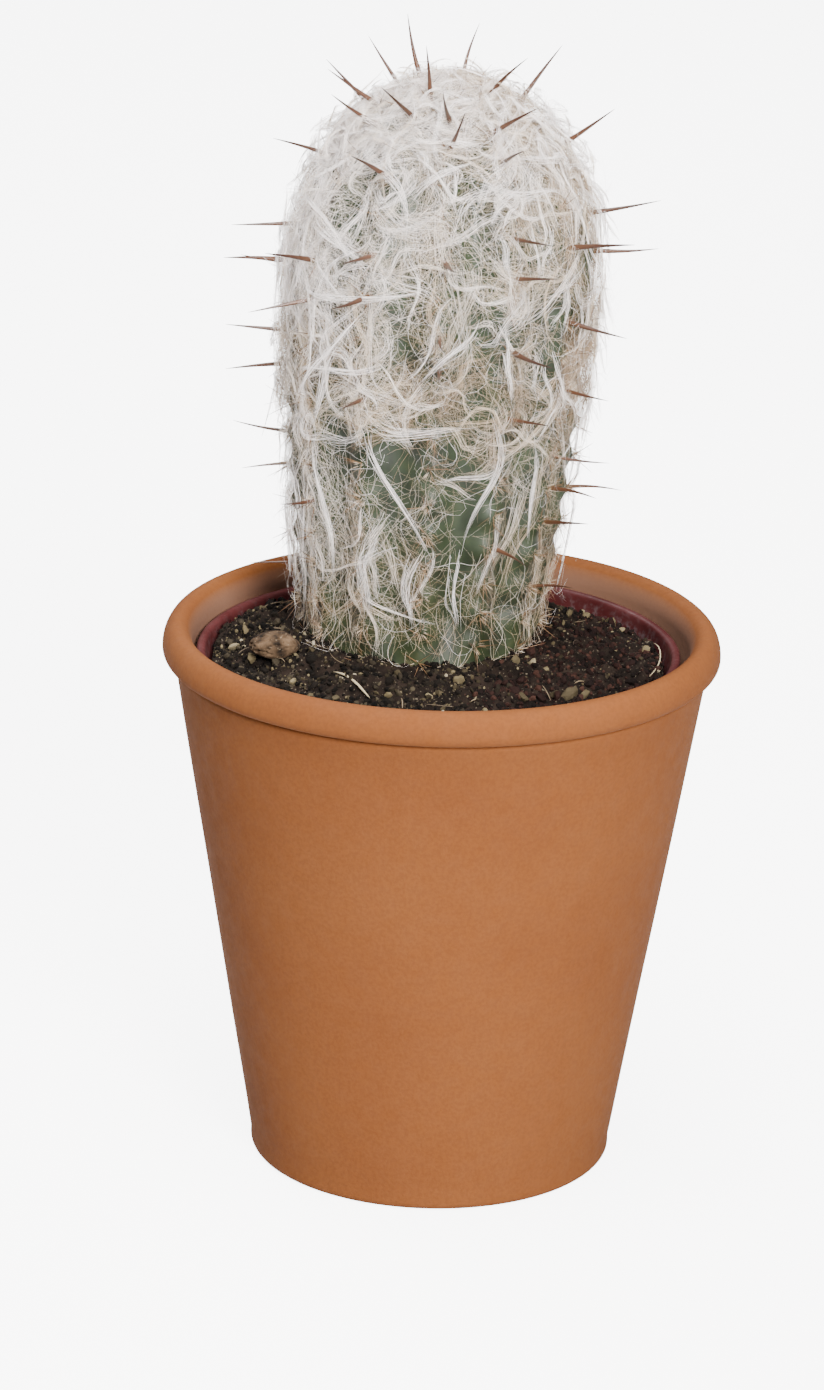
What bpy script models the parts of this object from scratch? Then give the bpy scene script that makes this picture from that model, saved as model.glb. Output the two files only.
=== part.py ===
"""Potted woolly column cactus: clay pot, inner nursery pot, soil, ribbed stem, wool and long spines.

Metres, +Z up, the pot standing on z = 0 around the Z axis, the front of the plant towards -Y.
"""
import math

import bmesh
import bpy
import numpy as np
from mathutils import Matrix, Vector

# ---- clay pot ----
POT_HEIGHT = 0.130
RIM_RADIUS = 0.065
LIP_HALF_WIDTH = 0.0036
LIP_RISE = 0.0057
LIP_UNDERCUT = 0.0023
WALL_TOP_RADIUS = 0.0625
WALL_FOOT_RADIUS = 0.0427
WALL_THICKNESS = 0.0046
FOOT_ROUNDING = 0.0016
FOOT_RING_INNER_RADIUS = 0.0320
FOOT_RECESS = 0.0015
CLAY_FLOOR = 0.0065
DRAIN_RADIUS = 0.0090
POT_SEGMENTS = 64

# ---- inner nursery pot ----
INNER_SHIFT_X = -0.0008
INNER_RIM_Z = 0.1240
INNER_RIM_RADIUS = 0.0565
INNER_TOP_RADIUS = 0.0555
INNER_FOOT_RADIUS = 0.0362
INNER_WALL = 0.0012
INNER_FLOOR_Z = 0.0083
INNER_STAND_Z = 0.0068
INNER_STAND_INSET = 0.0022
INNER_STAND_WIDTH = 0.0020
INNER_RIM_DEPTH = 0.0022
INNER_HOLE_RADIUS = 0.0035
INNER_HOLE_PITCH_RADIUS = 0.0220
INNER_SEGMENTS = 40

# ---- soil ----
SOIL_GAP = 0.00035
SOIL_EDGE_Z = 0.1206
SOIL_MOUND = 0.0056
SOIL_MOUND_REACH = 0.052
SOIL_BACK_RISE = 0.0012
SOIL_LUMPS = 0.0005
SOIL_FOOT_INSET = 0.0014
RECESS_LIP = 0.0011
RECESS_GAP = 0.0005
LUMP_CENTRE = (-0.0388, -0.0090)
LUMP_RADII = (0.0060, 0.0044, 0.0030)
LUMP_CLEARANCE = 0.0014
LUMP_KNOBS = 0.10

# ---- stem ----
STEM_CENTRE = (-0.0035, 0.0090)
STEM_LEAN = 0.0206
SOIL_LINE_Z = 0.1250
SHOULDER_Z = 0.2120
APEX_Z = 0.2565
SOIL_LINE_RADIUS = 0.0270
SHOULDER_RADIUS = 0.0350
CROWN_BOTTOM_Z = 0.1135
CROWN_BOTTOM_RADIUS = 0.0190
APEX_DIP = 0.0016
RIB_COUNT = 13
RIB_DEPTH = 0.0042
RIB_FOOT_FADE = 0.012
RIB_APEX_FADE = 0.016
FRONT_RIB_ANGLE = math.radians(-90.5)
SEGMENTS_PER_RIB = 4

# ---- wool ----
WOOL_CLEARANCE = 0.0008
WOOL_THICK_TOP = 0.0035
WOOL_THICK_FOOT = 0.0026
WOOL_FOOT_Z = 0.1285
WOOL_SEGMENTS = 36

# ---- long spines: one mark per areole, from the soil line up, an x where a long spine stands ----
AREOLE_STEP = 0.0080
AREOLE_START = 0.0015
SPINE_CHART = (
    ".........xx.x..xx.",
    "...x...x.x.xx.xx..",
    "..x.xxx.x.x.x....x",
    "....x......xx.x...",
    "................x.",
    "......x.....x.....",
    ".................x",
    "........x.....x...",
    "................xx",
    "..........x....x..",
    "..x..xx.xx.xx.x.x.",
    "....x.....xx...x..",
    "........x..xx.x.xx",
)
SPINE_LENGTH = 0.0150
LOW_SPINE_LENGTH = 0.0095
APEX_SPINE_DROP = 0.25
SPINE_BASE_RADIUS = 0.00058
SPINE_TIP_RADIUS = 0.00010
SPINE_STAND_OFF = 0.0009
SPINE_SIDES = 6
SPINE_UPWARD_BOW = 0.03
SPINE_TILT_SPREAD = math.radians(12.0)
SPINE_TURN_SPREAD = math.radians(20.0)
SPINE_LENGTH_SPREAD = 0.12
SPINE_SEED = 351
HOLE_EXTRA_RADIUS = 0.00060
HOLE_START_DEPTH = 0.0014
HOLE_REACH_PAST_WOOL = 0.0045

DOME_RISE = APEX_Z - SHOULDER_Z
FLANK_LENGTH = SHOULDER_Z - SOIL_LINE_Z
DOME_LENGTH_RADIUS = 0.5 * (DOME_RISE + SHOULDER_RADIUS)
CREST_LENGTH = FLANK_LENGTH + DOME_LENGTH_RADIUS * math.pi / 2.0


def clear_scene():
    for obj in list(bpy.data.objects):
        bpy.data.objects.remove(obj, do_unlink=True)


def material(name, colour, roughness):
    mat = bpy.data.materials.new(name)
    mat.use_nodes = True
    shader = mat.node_tree.nodes["Principled BSDF"]
    shader.inputs["Base Color"].default_value = (*colour, 1.0)
    shader.inputs["Roughness"].default_value = roughness
    shader.inputs["Metallic"].default_value = 0.0
    mat.diffuse_color = (*colour, 1.0)
    return mat


def add_object(name, bm, mat):
    """Turn a bmesh into a smooth-shaded object of the scene with its faces pointing out."""
    bmesh.ops.recalc_face_normals(bm, faces=bm.faces)
    for face in bm.faces:
        face.smooth = True
    mesh = bpy.data.meshes.new(name)
    bm.to_mesh(mesh)
    bm.free()
    mesh.materials.append(mat)
    obj = bpy.data.objects.new(name, mesh)
    bpy.context.collection.objects.link(obj)
    return obj


def lathe(profile, segments, closed):
    """Spin a profile of (radius, height) points about Z; a closed profile becomes a ring-shaped body."""
    bm = bmesh.new()
    verts = [bm.verts.new((r, 0.0, z)) for r, z in profile]
    pairs = list(zip(verts, verts[1:]))
    if closed:
        pairs.append((verts[-1], verts[0]))
    edges = [bm.edges.new(pair) for pair in pairs]
    bmesh.ops.spin(bm, geom=verts + edges, axis=(0, 0, 1), cent=(0, 0, 0), steps=segments,
                   angle=2.0 * math.pi, use_merge=True)
    bmesh.ops.remove_doubles(bm, verts=bm.verts, dist=1e-6)
    return bm


def arc(cx, cz, rx, rz, start, end, steps):
    """Points on a quarter or half of an ellipse, angles in degrees from the +radius direction."""
    angles = np.radians(np.linspace(start, end, steps))
    return [(cx + rx * math.cos(a), cz + rz * math.sin(a)) for a in angles]


# ---- clay pot ----
def clay_profile():
    """Foot rounding, tapered wall, rolled lip, then down the inside to the drain hole and foot ring."""
    lip_z = POT_HEIGHT - LIP_RISE
    lip_r = RIM_RADIUS - LIP_HALF_WIDTH
    inner_top = RIM_RADIUS - 2.0 * LIP_HALF_WIDTH
    inner_foot = WALL_FOOT_RADIUS - WALL_THICKNESS
    outer = arc(WALL_FOOT_RADIUS - FOOT_ROUNDING, FOOT_ROUNDING, FOOT_ROUNDING, FOOT_ROUNDING, -90, 0, 4)
    outer += [(WALL_TOP_RADIUS - 0.0003, lip_z - LIP_UNDERCUT - 0.0012)]
    outer += arc(WALL_TOP_RADIUS, lip_z, RIM_RADIUS - WALL_TOP_RADIUS, LIP_UNDERCUT, -90, -30, 3)
    outer += arc(lip_r, lip_z, LIP_HALF_WIDTH, LIP_RISE, 0, 180, 9)
    inner = [
        (inner_top, lip_z - 0.006),
        (inner_foot + 0.0012, CLAY_FLOOR + 0.004),
        (inner_foot - 0.0008, CLAY_FLOOR + 0.0009),
        (inner_foot - 0.0030, CLAY_FLOOR),
        (DRAIN_RADIUS, CLAY_FLOOR),
        (DRAIN_RADIUS, FOOT_RECESS),
        (FOOT_RING_INNER_RADIUS - 0.001, FOOT_RECESS),
        (FOOT_RING_INNER_RADIUS, 0.0),
    ]
    return outer + inner


def build_terracotta_pot(mat):
    return add_object("terracotta_pot", lathe(clay_profile(), POT_SEGMENTS, True), mat)


# ---- nursery pot ----
def inner_wall_radius(z):
    """Outer radius of the nursery pot's tapered wall at a height."""
    share = (z - INNER_FLOOR_Z) / (INNER_RIM_Z - INNER_FLOOR_Z)
    return INNER_FOOT_RADIUS + share * (INNER_TOP_RADIUS - INNER_FOOT_RADIUS)


def nursery_profile():
    """Underside, foot ring, tapered wall, turned-out rim, then down the inside to the floor."""
    floor_top = INNER_FLOOR_Z + INNER_WALL
    stand_r = INNER_FOOT_RADIUS - INNER_STAND_INSET
    rim_foot_z = INNER_RIM_Z - INNER_RIM_DEPTH
    inner_rim = INNER_TOP_RADIUS - INNER_WALL
    return [
        (0.0, INNER_FLOOR_Z),
        (stand_r - INNER_STAND_WIDTH, INNER_FLOOR_Z),
        (stand_r - INNER_STAND_WIDTH, INNER_STAND_Z),
        (stand_r, INNER_STAND_Z),
        (INNER_FOOT_RADIUS, INNER_FLOOR_Z + 0.0006),
        (inner_wall_radius(rim_foot_z), rim_foot_z),
        (INNER_RIM_RADIUS, rim_foot_z + 0.0003),
        (INNER_RIM_RADIUS, INNER_RIM_Z - 0.0005),
        (INNER_RIM_RADIUS - 0.0005, INNER_RIM_Z),
        (inner_rim + 0.0004, INNER_RIM_Z),
        (inner_rim, INNER_RIM_Z - 0.0006),
        (INNER_FOOT_RADIUS - INNER_WALL + 0.0002, floor_top + 0.0010),
        (INNER_FOOT_RADIUS - INNER_WALL - 0.0010, floor_top),
        (0.0, floor_top),
    ]


def drain_cutter():
    """Upright pegs that cut the nursery pot's drain holes: one in the middle and five round it."""
    bm = bmesh.new()
    pitch = INNER_HOLE_PITCH_RADIUS
    spots = [(0.0, 0.0)]
    for k in range(5):
        angle = 2.0 * math.pi * (k + 0.25) / 5.0
        spots.append((pitch * math.cos(angle), pitch * math.sin(angle)))
    for x, y in spots:
        bmesh.ops.create_cone(bm, cap_ends=True, segments=12, radius1=INNER_HOLE_RADIUS,
                              radius2=INNER_HOLE_RADIUS, depth=0.008,
                              matrix=Matrix.Translation((x + INNER_SHIFT_X, y, INNER_FLOOR_Z)))
    return bm


def cut_with(target, cutter_bm, cutter_name, mat):
    """Subtract a cutter from the target, then remove the cutter."""
    cutter = add_object(cutter_name, cutter_bm, mat)
    cutter.hide_render = True
    cutter.display_type = 'WIRE'
    mod = target.modifiers.new("holes", 'BOOLEAN')
    mod.operation = 'DIFFERENCE'
    mod.solver = 'EXACT'
    mod.use_self = True
    mod.object = cutter
    graph = bpy.context.evaluated_depsgraph_get()
    cut_mesh = bpy.data.meshes.new_from_object(target.evaluated_get(graph))
    target.modifiers.remove(mod)
    target.data = cut_mesh
    bpy.data.objects.remove(cutter, do_unlink=True)


def build_nursery_pot(mat):
    bm = lathe(nursery_profile(), INNER_SEGMENTS, False)
    bmesh.ops.translate(bm, verts=bm.verts, vec=(INNER_SHIFT_X, 0.0, 0.0))
    pot = add_object("nursery_pot", bm, mat)
    cut_with(pot, drain_cutter(), "drain_cutter", mat)
    return pot


# ---- stem shape shared by stem, wool, spines and soil recess ----
def rib_point(distance):
    """Radius, height and slope angle of the rib crest at a distance along it from the soil line."""
    if distance <= FLANK_LENGTH:
        z = SOIL_LINE_Z + distance
        rest = 1.0 - distance / FLANK_LENGTH
        radius = SHOULDER_RADIUS - (SHOULDER_RADIUS - SOIL_LINE_RADIUS) * rest * rest
        return radius, z, 0.0
    angle = (distance - FLANK_LENGTH) / DOME_LENGTH_RADIUS
    return SHOULDER_RADIUS * math.cos(angle), SHOULDER_Z + DOME_RISE * math.sin(angle), angle


def axis_offset(z):
    """Where the leaning stem's axis is at a height."""
    return Vector((STEM_CENTRE[0] + STEM_LEAN * (z - SOIL_LINE_Z), STEM_CENTRE[1], 0.0))


def lean(bm):
    for vert in bm.verts:
        vert.co += axis_offset(vert.co.z)


def crest_profile(foot_offset, shoulder_offset, start_distance):
    """Rib crest line from a start distance to the apex, pushed out by an offset that grows up the flank."""
    flank = np.linspace(start_distance, FLANK_LENGTH, 9)
    dome = np.linspace(FLANK_LENGTH, CREST_LENGTH, 9)[1:]
    points = []
    for distance in np.concatenate([flank, dome]):
        radius, z, slope = rib_point(float(distance))
        share = min(1.0, float(distance) / FLANK_LENGTH)
        offset = foot_offset + share * (shoulder_offset - foot_offset)
        points.append((radius + offset * math.cos(slope), z + offset * math.sin(slope)))
    points[-1] = (0.0, points[-1][1])
    return points


def flute(bm):
    """Press valleys between the ribs: full depth on the flank, fading at the crown and the apex."""
    for vert in bm.verts:
        radius = math.hypot(vert.co.x, vert.co.y)
        if radius < 1e-6 or vert.co.z < SOIL_LINE_Z:
            continue
        angle = math.atan2(vert.co.y, vert.co.x) - FRONT_RIB_ANGLE
        valley = 0.5 - 0.5 * math.cos(RIB_COUNT * angle)
        foot_fade = min(1.0, (vert.co.z - SOIL_LINE_Z) / RIB_FOOT_FADE)
        apex_fade = min(1.0, radius / RIB_APEX_FADE)
        scale = 1.0 - valley * RIB_DEPTH * foot_fade * apex_fade / radius
        vert.co.x *= scale
        vert.co.y *= scale


def build_cactus_stem(mat):
    crown = [(0.0, CROWN_BOTTOM_Z), (CROWN_BOTTOM_RADIUS * 0.75, CROWN_BOTTOM_Z),
             (CROWN_BOTTOM_RADIUS, CROWN_BOTTOM_Z + 0.0012)]
    crest = crest_profile(0.0, 0.0, 0.0)
    crest[-1] = (0.0, crest[-1][1] - APEX_DIP)
    bm = lathe(crown + crest, RIB_COUNT * SEGMENTS_PER_RIB, False)
    bmesh.ops.rotate(bm, verts=bm.verts, cent=(0, 0, 0), matrix=Matrix.Rotation(FRONT_RIB_ANGLE, 3, 'Z'))
    flute(bm)
    lean(bm)
    return add_object("cactus_stem", bm, mat)


# ---- soil ----
def soil_top(x, y):
    """Height of the soil: low at the wall, mounded towards the stem, a little higher at the back left."""
    centre = Vector((STEM_CENTRE[0], STEM_CENTRE[1]))
    reach = (Vector((x, y)) - centre).length
    share = min(1.0, max(0.0, (SOIL_MOUND_REACH - reach) / (SOIL_MOUND_REACH - SOIL_LINE_RADIUS)))
    mound = SOIL_MOUND * share * share * (3.0 - 2.0 * share)
    back = SOIL_BACK_RISE * (y - x) / 0.08
    lumps = SOIL_LUMPS * (math.sin(310.0 * x + 1.0) * math.cos(270.0 * y) + math.sin(140.0 * (x + y)))
    return SOIL_EDGE_Z + mound + back + lumps


def soil_edge_radius():
    """Radius of the soil where its top meets the nursery pot's wall."""
    return inner_wall_radius(SOIL_EDGE_Z) - INNER_WALL - 2.2 * SOIL_GAP


def soil_profile():
    """Bottom centre, outer wall, top from the wall to the stem recess, then down into the recess."""
    floor = INNER_FLOOR_Z + INNER_WALL + SOIL_GAP
    wall_foot = INNER_FOOT_RADIUS - INNER_WALL - SOIL_FOOT_INSET
    top_radii = np.linspace(soil_edge_radius(), SOIL_LINE_RADIUS + RECESS_LIP, 6)
    points = [(0.0, floor), (wall_foot, floor)]
    points += [(float(r), SOIL_EDGE_Z) for r in top_radii]
    points += [
        (SOIL_LINE_RADIUS, SOIL_LINE_Z - 0.0010),
        (CROWN_BOTTOM_RADIUS + RECESS_GAP, CROWN_BOTTOM_Z),
        (CROWN_BOTTOM_RADIUS, CROWN_BOTTOM_Z - RECESS_GAP),
        (0.0, CROWN_BOTTOM_Z - RECESS_GAP),
    ]
    return points


def build_soil(mat):
    """Each ring's centre slides from the nursery pot's axis to the stem's axis."""
    bm = lathe(soil_profile(), INNER_SEGMENTS, False)
    edge = soil_edge_radius()
    for vert in bm.verts:
        on_top = abs(vert.co.z - SOIL_EDGE_Z) < 1e-6
        in_recess = vert.co.z > CROWN_BOTTOM_Z - 0.001 and not on_top
        radius = math.hypot(vert.co.x, vert.co.y)
        share = 1.0 if in_recess else 0.0
        if on_top:
            share = (edge - radius) / (edge - SOIL_LINE_RADIUS - RECESS_LIP)
        vert.co.x += share * STEM_CENTRE[0] + (1.0 - share) * INNER_SHIFT_X
        vert.co.y += share * STEM_CENTRE[1]
        if on_top:
            vert.co.z = soil_top(vert.co.x, vert.co.y)
    return add_object("soil", bm, mat)


def build_pumice_lump(mat):
    """A knobbly lump of porous grit lying on the soil."""
    bm = bmesh.new()
    bmesh.ops.create_icosphere(bm, subdivisions=2, radius=1.0)
    x0, y0 = LUMP_CENTRE
    z0 = soil_top(x0, y0) + LUMP_RADII[2] + LUMP_CLEARANCE
    for vert in bm.verts:
        knob = 1.0 + LUMP_KNOBS * math.sin(5.0 * vert.co.x + 2.0) * math.cos(4.0 * vert.co.y)
        vert.co = Vector((x0 + LUMP_RADII[0] * knob * vert.co.x,
                          y0 + LUMP_RADII[1] * knob * vert.co.y,
                          z0 + LUMP_RADII[2] * vert.co.z))
    return add_object("pumice_lump", bm, mat)


# ---- long spines ----
def spine_spots():
    """Rib number, distance along the rib and share of the way up, for every marked areole."""
    spots = []
    for rib, marks in enumerate(SPINE_CHART):
        shift = AREOLE_STEP / 2.0 if rib % 2 else 0.0
        for step, mark in enumerate(marks):
            if mark == "x":
                spots.append((rib, AREOLE_START + shift + AREOLE_STEP * step))
    return spots


def azimuth_vector(azimuth, rise):
    """Unit vector at an angle round the stem and an angle above the horizontal."""
    flat = math.cos(rise)
    return Vector((math.cos(azimuth) * flat, math.sin(azimuth) * flat, math.sin(rise)))


def spine_frames():
    """Base point, direction and length of every long spine, in world coordinates."""
    rng = np.random.default_rng(SPINE_SEED)
    frames = []
    for rib, distance in spine_spots():
        tilt, turn, stretch = rng.uniform(-1.0, 1.0, 3)
        radius, z, slope = rib_point(distance)
        azimuth = FRONT_RIB_ANGLE + 2.0 * math.pi * rib / RIB_COUNT
        crest = azimuth_vector(azimuth, 0.0) * radius + Vector((0.0, 0.0, z))
        base = crest + axis_offset(z) + azimuth_vector(azimuth, slope) * SPINE_STAND_OFF
        rise = slope * (1.0 - APEX_SPINE_DROP) + SPINE_TILT_SPREAD * tilt
        direction = azimuth_vector(azimuth + SPINE_TURN_SPREAD * turn, rise)
        share = min(1.0, distance / FLANK_LENGTH)
        length = LOW_SPINE_LENGTH + share * (SPINE_LENGTH - LOW_SPINE_LENGTH)
        frames.append((base, direction, length * (1.0 + SPINE_LENGTH_SPREAD * stretch)))
    return frames


def needle(bm, base, direction, length, base_radius, tip_radius, bend):
    """A tapered needle in three stretches, bowing upwards a little."""
    turn = direction.to_track_quat('Z', 'Y').to_matrix()
    rings = []
    for share in (0.0, 0.35, 0.7, 1.0):
        centre = base + direction * (length * share) + Vector((0, 0, bend * length * share * share))
        radius = base_radius + (tip_radius - base_radius) * share
        ring = []
        for k in range(SPINE_SIDES):
            angle = 2.0 * math.pi * k / SPINE_SIDES
            across = Vector((math.cos(angle), math.sin(angle), 0.0)) * radius
            ring.append(bm.verts.new(centre + turn @ across))
        rings.append(ring)
    for low, high in zip(rings, rings[1:]):
        for k in range(SPINE_SIDES):
            nxt = (k + 1) % SPINE_SIDES
            bm.faces.new((low[k], low[nxt], high[nxt], high[k]))
    bm.faces.new(list(reversed(rings[0])))
    bm.faces.new(rings[-1])


def build_spines(mat):
    for number, (base, direction, length) in enumerate(spine_frames(), start=1):
        bm = bmesh.new()
        needle(bm, base, direction, length, SPINE_BASE_RADIUS, SPINE_TIP_RADIUS, SPINE_UPWARD_BOW)
        add_object(f"spine_{number:02d}", bm, mat)


# ---- wool ----
def wool_shell():
    """Closed bell: up the inside and down the outside, joined by a ring round the open foot."""
    start = WOOL_FOOT_Z - SOIL_LINE_Z
    inner = crest_profile(WOOL_CLEARANCE, WOOL_CLEARANCE, start)
    outer = crest_profile(WOOL_CLEARANCE + WOOL_THICK_FOOT, WOOL_CLEARANCE + WOOL_THICK_TOP, start)
    return lathe(list(reversed(inner)) + outer, WOOL_SEGMENTS, False)


def spine_hole_cutter():
    """Fatter needles along every spine, so the wool leaves each one a clear hole."""
    bm = bmesh.new()
    reach = HOLE_START_DEPTH + WOOL_CLEARANCE + WOOL_THICK_TOP + HOLE_REACH_PAST_WOOL
    hole_radius = SPINE_BASE_RADIUS + HOLE_EXTRA_RADIUS
    for base, direction, _ in spine_frames():
        start = base - direction * HOLE_START_DEPTH
        needle(bm, start, direction, reach, hole_radius, hole_radius - 0.0001, 0.0)
    return bm


def build_wool_coat(mat):
    bm = wool_shell()
    lean(bm)
    coat = add_object("wool_coat", bm, mat)
    cut_with(coat, spine_hole_cutter(), "spine_hole_cutter", mat)
    return coat


def main():
    clear_scene()
    build_terracotta_pot(material("terracotta", (0.43, 0.15, 0.06), 0.85))
    build_nursery_pot(material("wine_plastic", (0.11, 0.018, 0.013), 0.42))
    build_soil(material("peat", (0.020, 0.015, 0.011), 0.95))
    build_pumice_lump(material("pumice", (0.22, 0.15, 0.11), 0.95))
    build_cactus_stem(material("green_skin", (0.09, 0.15, 0.055), 0.55))
    build_wool_coat(material("white_wool", (0.68, 0.66, 0.60), 0.95))
    build_spines(material("brown_spine", (0.16, 0.055, 0.030), 0.5))


main()
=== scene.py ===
"""A woolly column cactus in a nursery pot inside a clay pot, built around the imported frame.

Metres, +Z up, the front of the plant towards -Y. Every piece is a surface worked out with numpy.
"""
import math

import bpy
import numpy as np
from mathutils import Matrix, Vector


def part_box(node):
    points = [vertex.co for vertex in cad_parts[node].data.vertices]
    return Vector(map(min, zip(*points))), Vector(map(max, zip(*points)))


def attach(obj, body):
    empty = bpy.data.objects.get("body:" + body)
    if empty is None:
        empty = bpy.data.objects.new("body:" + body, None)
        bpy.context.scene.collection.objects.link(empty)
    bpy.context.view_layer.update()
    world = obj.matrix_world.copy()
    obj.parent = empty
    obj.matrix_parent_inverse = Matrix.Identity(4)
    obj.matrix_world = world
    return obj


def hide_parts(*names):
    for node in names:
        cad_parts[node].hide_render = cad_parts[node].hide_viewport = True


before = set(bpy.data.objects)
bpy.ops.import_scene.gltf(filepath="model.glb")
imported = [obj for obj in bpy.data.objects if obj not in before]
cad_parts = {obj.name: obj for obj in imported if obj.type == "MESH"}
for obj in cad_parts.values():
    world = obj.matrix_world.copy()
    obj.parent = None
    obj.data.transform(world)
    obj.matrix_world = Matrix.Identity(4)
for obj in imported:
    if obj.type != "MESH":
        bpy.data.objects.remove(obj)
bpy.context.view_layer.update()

bl_info = {
    "name": "Woolly cactus in a clay pot",
    "version": (1, 0, 0),
    "blender": (4, 5, 0),
    "location": "3D View > Sidebar > Cactus",
    "description": "Builds the pots, soil, stem, spines and wool of a potted woolly cactus",
    "category": "Add Mesh",
}

BODY = "root"


def frame_box(node):
    """Low and high corner of a CAD node."""
    return [np.array(corner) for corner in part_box(node)]


# ---- sizes read from the frame ----
POT_HIGH = frame_box("terracotta_pot")[1]
INNER_LOW, INNER_HIGH = frame_box("nursery_pot")
SOIL_LOW, SOIL_HIGH = frame_box("soil")
STEM_LOW, STEM_HIGH = frame_box("cactus_stem")
LUMP_LOW, LUMP_HIGH = frame_box("pumice_lump")
INNER_CENTRE_X = 0.5 * (INNER_LOW[0] + INNER_HIGH[0])
SOIL_CENTRE_X = 0.5 * (SOIL_LOW[0] + SOIL_HIGH[0])
SOIL_RADIUS = 0.5 * (SOIL_HIGH[0] - SOIL_LOW[0])


def node_points(name):
    """All vertices of a CAD node as rows of x, y, z."""
    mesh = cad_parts[name].data
    flat = np.empty(len(mesh.vertices) * 3)
    mesh.vertices.foreach_get("co", flat)
    return flat.reshape(-1, 3)


def stem_axis_line():
    """Where the stem's axis stands at its foot and how far it leans over per metre of height."""
    points = node_points("cactus_stem")
    foot = points[points[:, 2] < STEM_LOW[2] + 1e-4].mean(0)
    top = points[points[:, 2] > STEM_HIGH[2] - 0.004].mean(0)
    return foot, (top - foot)[:2] / (top[2] - foot[2])


STEM_FOOT, STEM_LEAN = stem_axis_line()

# ---- stem ----
RIB_COUNT = 13
RIB_DEPTH = 0.0042
NOTCH_DEPTH = 0.0011
RIB_FADE_LENGTH = 0.012
RIB_FADE_RADIUS = 0.016
FRONT_RIB_ANGLE = math.radians(-90.5)
RIB_STEP = 2.0 * math.pi / RIB_COUNT
SOIL_LINE_Z = STEM_LOW[2] + 0.0115
SHOULDER_Z = SOIL_LINE_Z + 0.0870
APEX_Z = STEM_HIGH[2] + 0.0006
SHOULDER_RADIUS = 0.0350
SOIL_LINE_RADIUS = 0.0270
FLANK = SHOULDER_Z - SOIL_LINE_Z
DOME_RISE = APEX_Z - SHOULDER_Z
DOME_MEAN = 0.5 * (DOME_RISE + SHOULDER_RADIUS)
RIB_END = FLANK + DOME_MEAN * math.pi / 2.0
AREOLE_STEP = 0.0080
AREOLE_START = 0.0015
AREOLES_PER_RIB = 18
NARROWEST = 0.007  # least radius that sideways steps on the skin are turned into angles with


def stem_axis_xy(z):
    """Where the stem's leaning axis is at a height."""
    rise = z - STEM_FOOT[2]
    return STEM_FOOT[0] + STEM_LEAN[0] * rise, STEM_FOOT[1] + STEM_LEAN[1] * rise


SOIL_LINE_X, SOIL_LINE_Y = stem_axis_xy(SOIL_LINE_Z)


# =====================================================================
# Mesh helpers
# =====================================================================
def link(obj):
    """Put an object into the scene."""
    bpy.context.scene.collection.objects.link(obj)
    return obj


def mesh_piece(name, verts, faces, material, uv=None, smooth=True):
    """A mesh from an array of points and an array of faces that all have the same number of corners."""
    verts = np.ascontiguousarray(verts, dtype=np.float32).reshape(-1, 3)
    faces = np.ascontiguousarray(faces, dtype=np.int32)
    corners = faces.shape[1]
    mesh = bpy.data.meshes.new(name)
    mesh.vertices.add(len(verts))
    mesh.vertices.foreach_set("co", verts.ravel())
    mesh.loops.add(faces.size)
    mesh.loops.foreach_set("vertex_index", faces.ravel())
    mesh.polygons.add(len(faces))
    mesh.polygons.foreach_set("loop_start", np.arange(0, faces.size, corners, dtype=np.int32))
    mesh.polygons.foreach_set("use_smooth", np.full(len(faces), smooth))
    if uv is not None:
        layer = mesh.uv_layers.new(name="OFBake")
        layer.data.foreach_set("uv", np.ascontiguousarray(uv, dtype=np.float32).ravel())
    mesh.update(calc_edges=True)
    mesh.validate()
    mesh.materials.append(material)
    return link(bpy.data.objects.new(name, mesh))


def finish_piece(obj, slot, *nodes):
    """Hang a piece on the plant's one body and hide the CAD nodes it stands for; the slot is not used."""
    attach(obj, BODY)
    if nodes:
        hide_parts(*nodes)
    return obj


def grid_faces(rows, columns, wrap_rows):
    """Triangles of a grid of points numbered row by row. Columns always wrap round, rows if asked."""
    row = np.arange(rows if wrap_rows else rows - 1)
    i, j = np.meshgrid(row, np.arange(columns), indexing="ij")
    i2 = (i + 1) % rows
    j2 = (j + 1) % columns
    quads = np.stack([i * columns + j, i * columns + j2, i2 * columns + j2, i2 * columns + j], -1)
    quads = quads.reshape(-1, 4)
    return np.concatenate([quads[:, [0, 1, 2]], quads[:, [0, 2, 3]]])


def capped(rings, first, last):
    """Points and triangles of rings in a row, closed at each end by a fan round one more point."""
    count = rings.shape[0] * rings.shape[1]
    ring = np.arange(rings.shape[1])
    following = (ring + 1) % len(ring)
    end = count - len(ring)
    first_fan = np.stack([np.full(len(ring), count), following, ring], -1)
    last_fan = np.stack([np.full(len(ring), count + 1), end + ring, end + following], -1)
    faces = np.concatenate([grid_faces(*rings.shape[:2], False), first_fan, last_fan])
    return np.concatenate([rings.reshape(-1, 3), [first, last]]), faces


def full_turn(steps):
    """Equal angles round the whole circle."""
    return np.arange(steps) * 2.0 * math.pi / steps


def revolve(profile, segments, closed, wobble=None):
    """Surface of revolution: each profile point (radius, height) is carried round Z.

    A closed profile makes a ring-shaped body. An open one starts and ends on the axis, and each
    end is one shared pole point. wobble takes (radius, angle, height) arrays and returns new ones.
    """
    profile = np.asarray(profile, float)
    inner = profile if closed else profile[1:-1]
    radius = np.repeat(inner[:, :1], segments, 1)
    height = np.repeat(inner[:, 1:], segments, 1)
    turn = np.repeat(full_turn(segments)[None, :], len(inner), 0)
    if wobble is not None:
        radius, turn, height = wobble(radius, turn, height)
    points = np.stack([radius * np.cos(turn), radius * np.sin(turn), height], -1)
    if closed:
        return points.reshape(-1, 3), grid_faces(len(inner), segments, True)
    return capped(points, (0.0, 0.0, profile[0, 1]), (0.0, 0.0, profile[-1, 1]))


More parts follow.
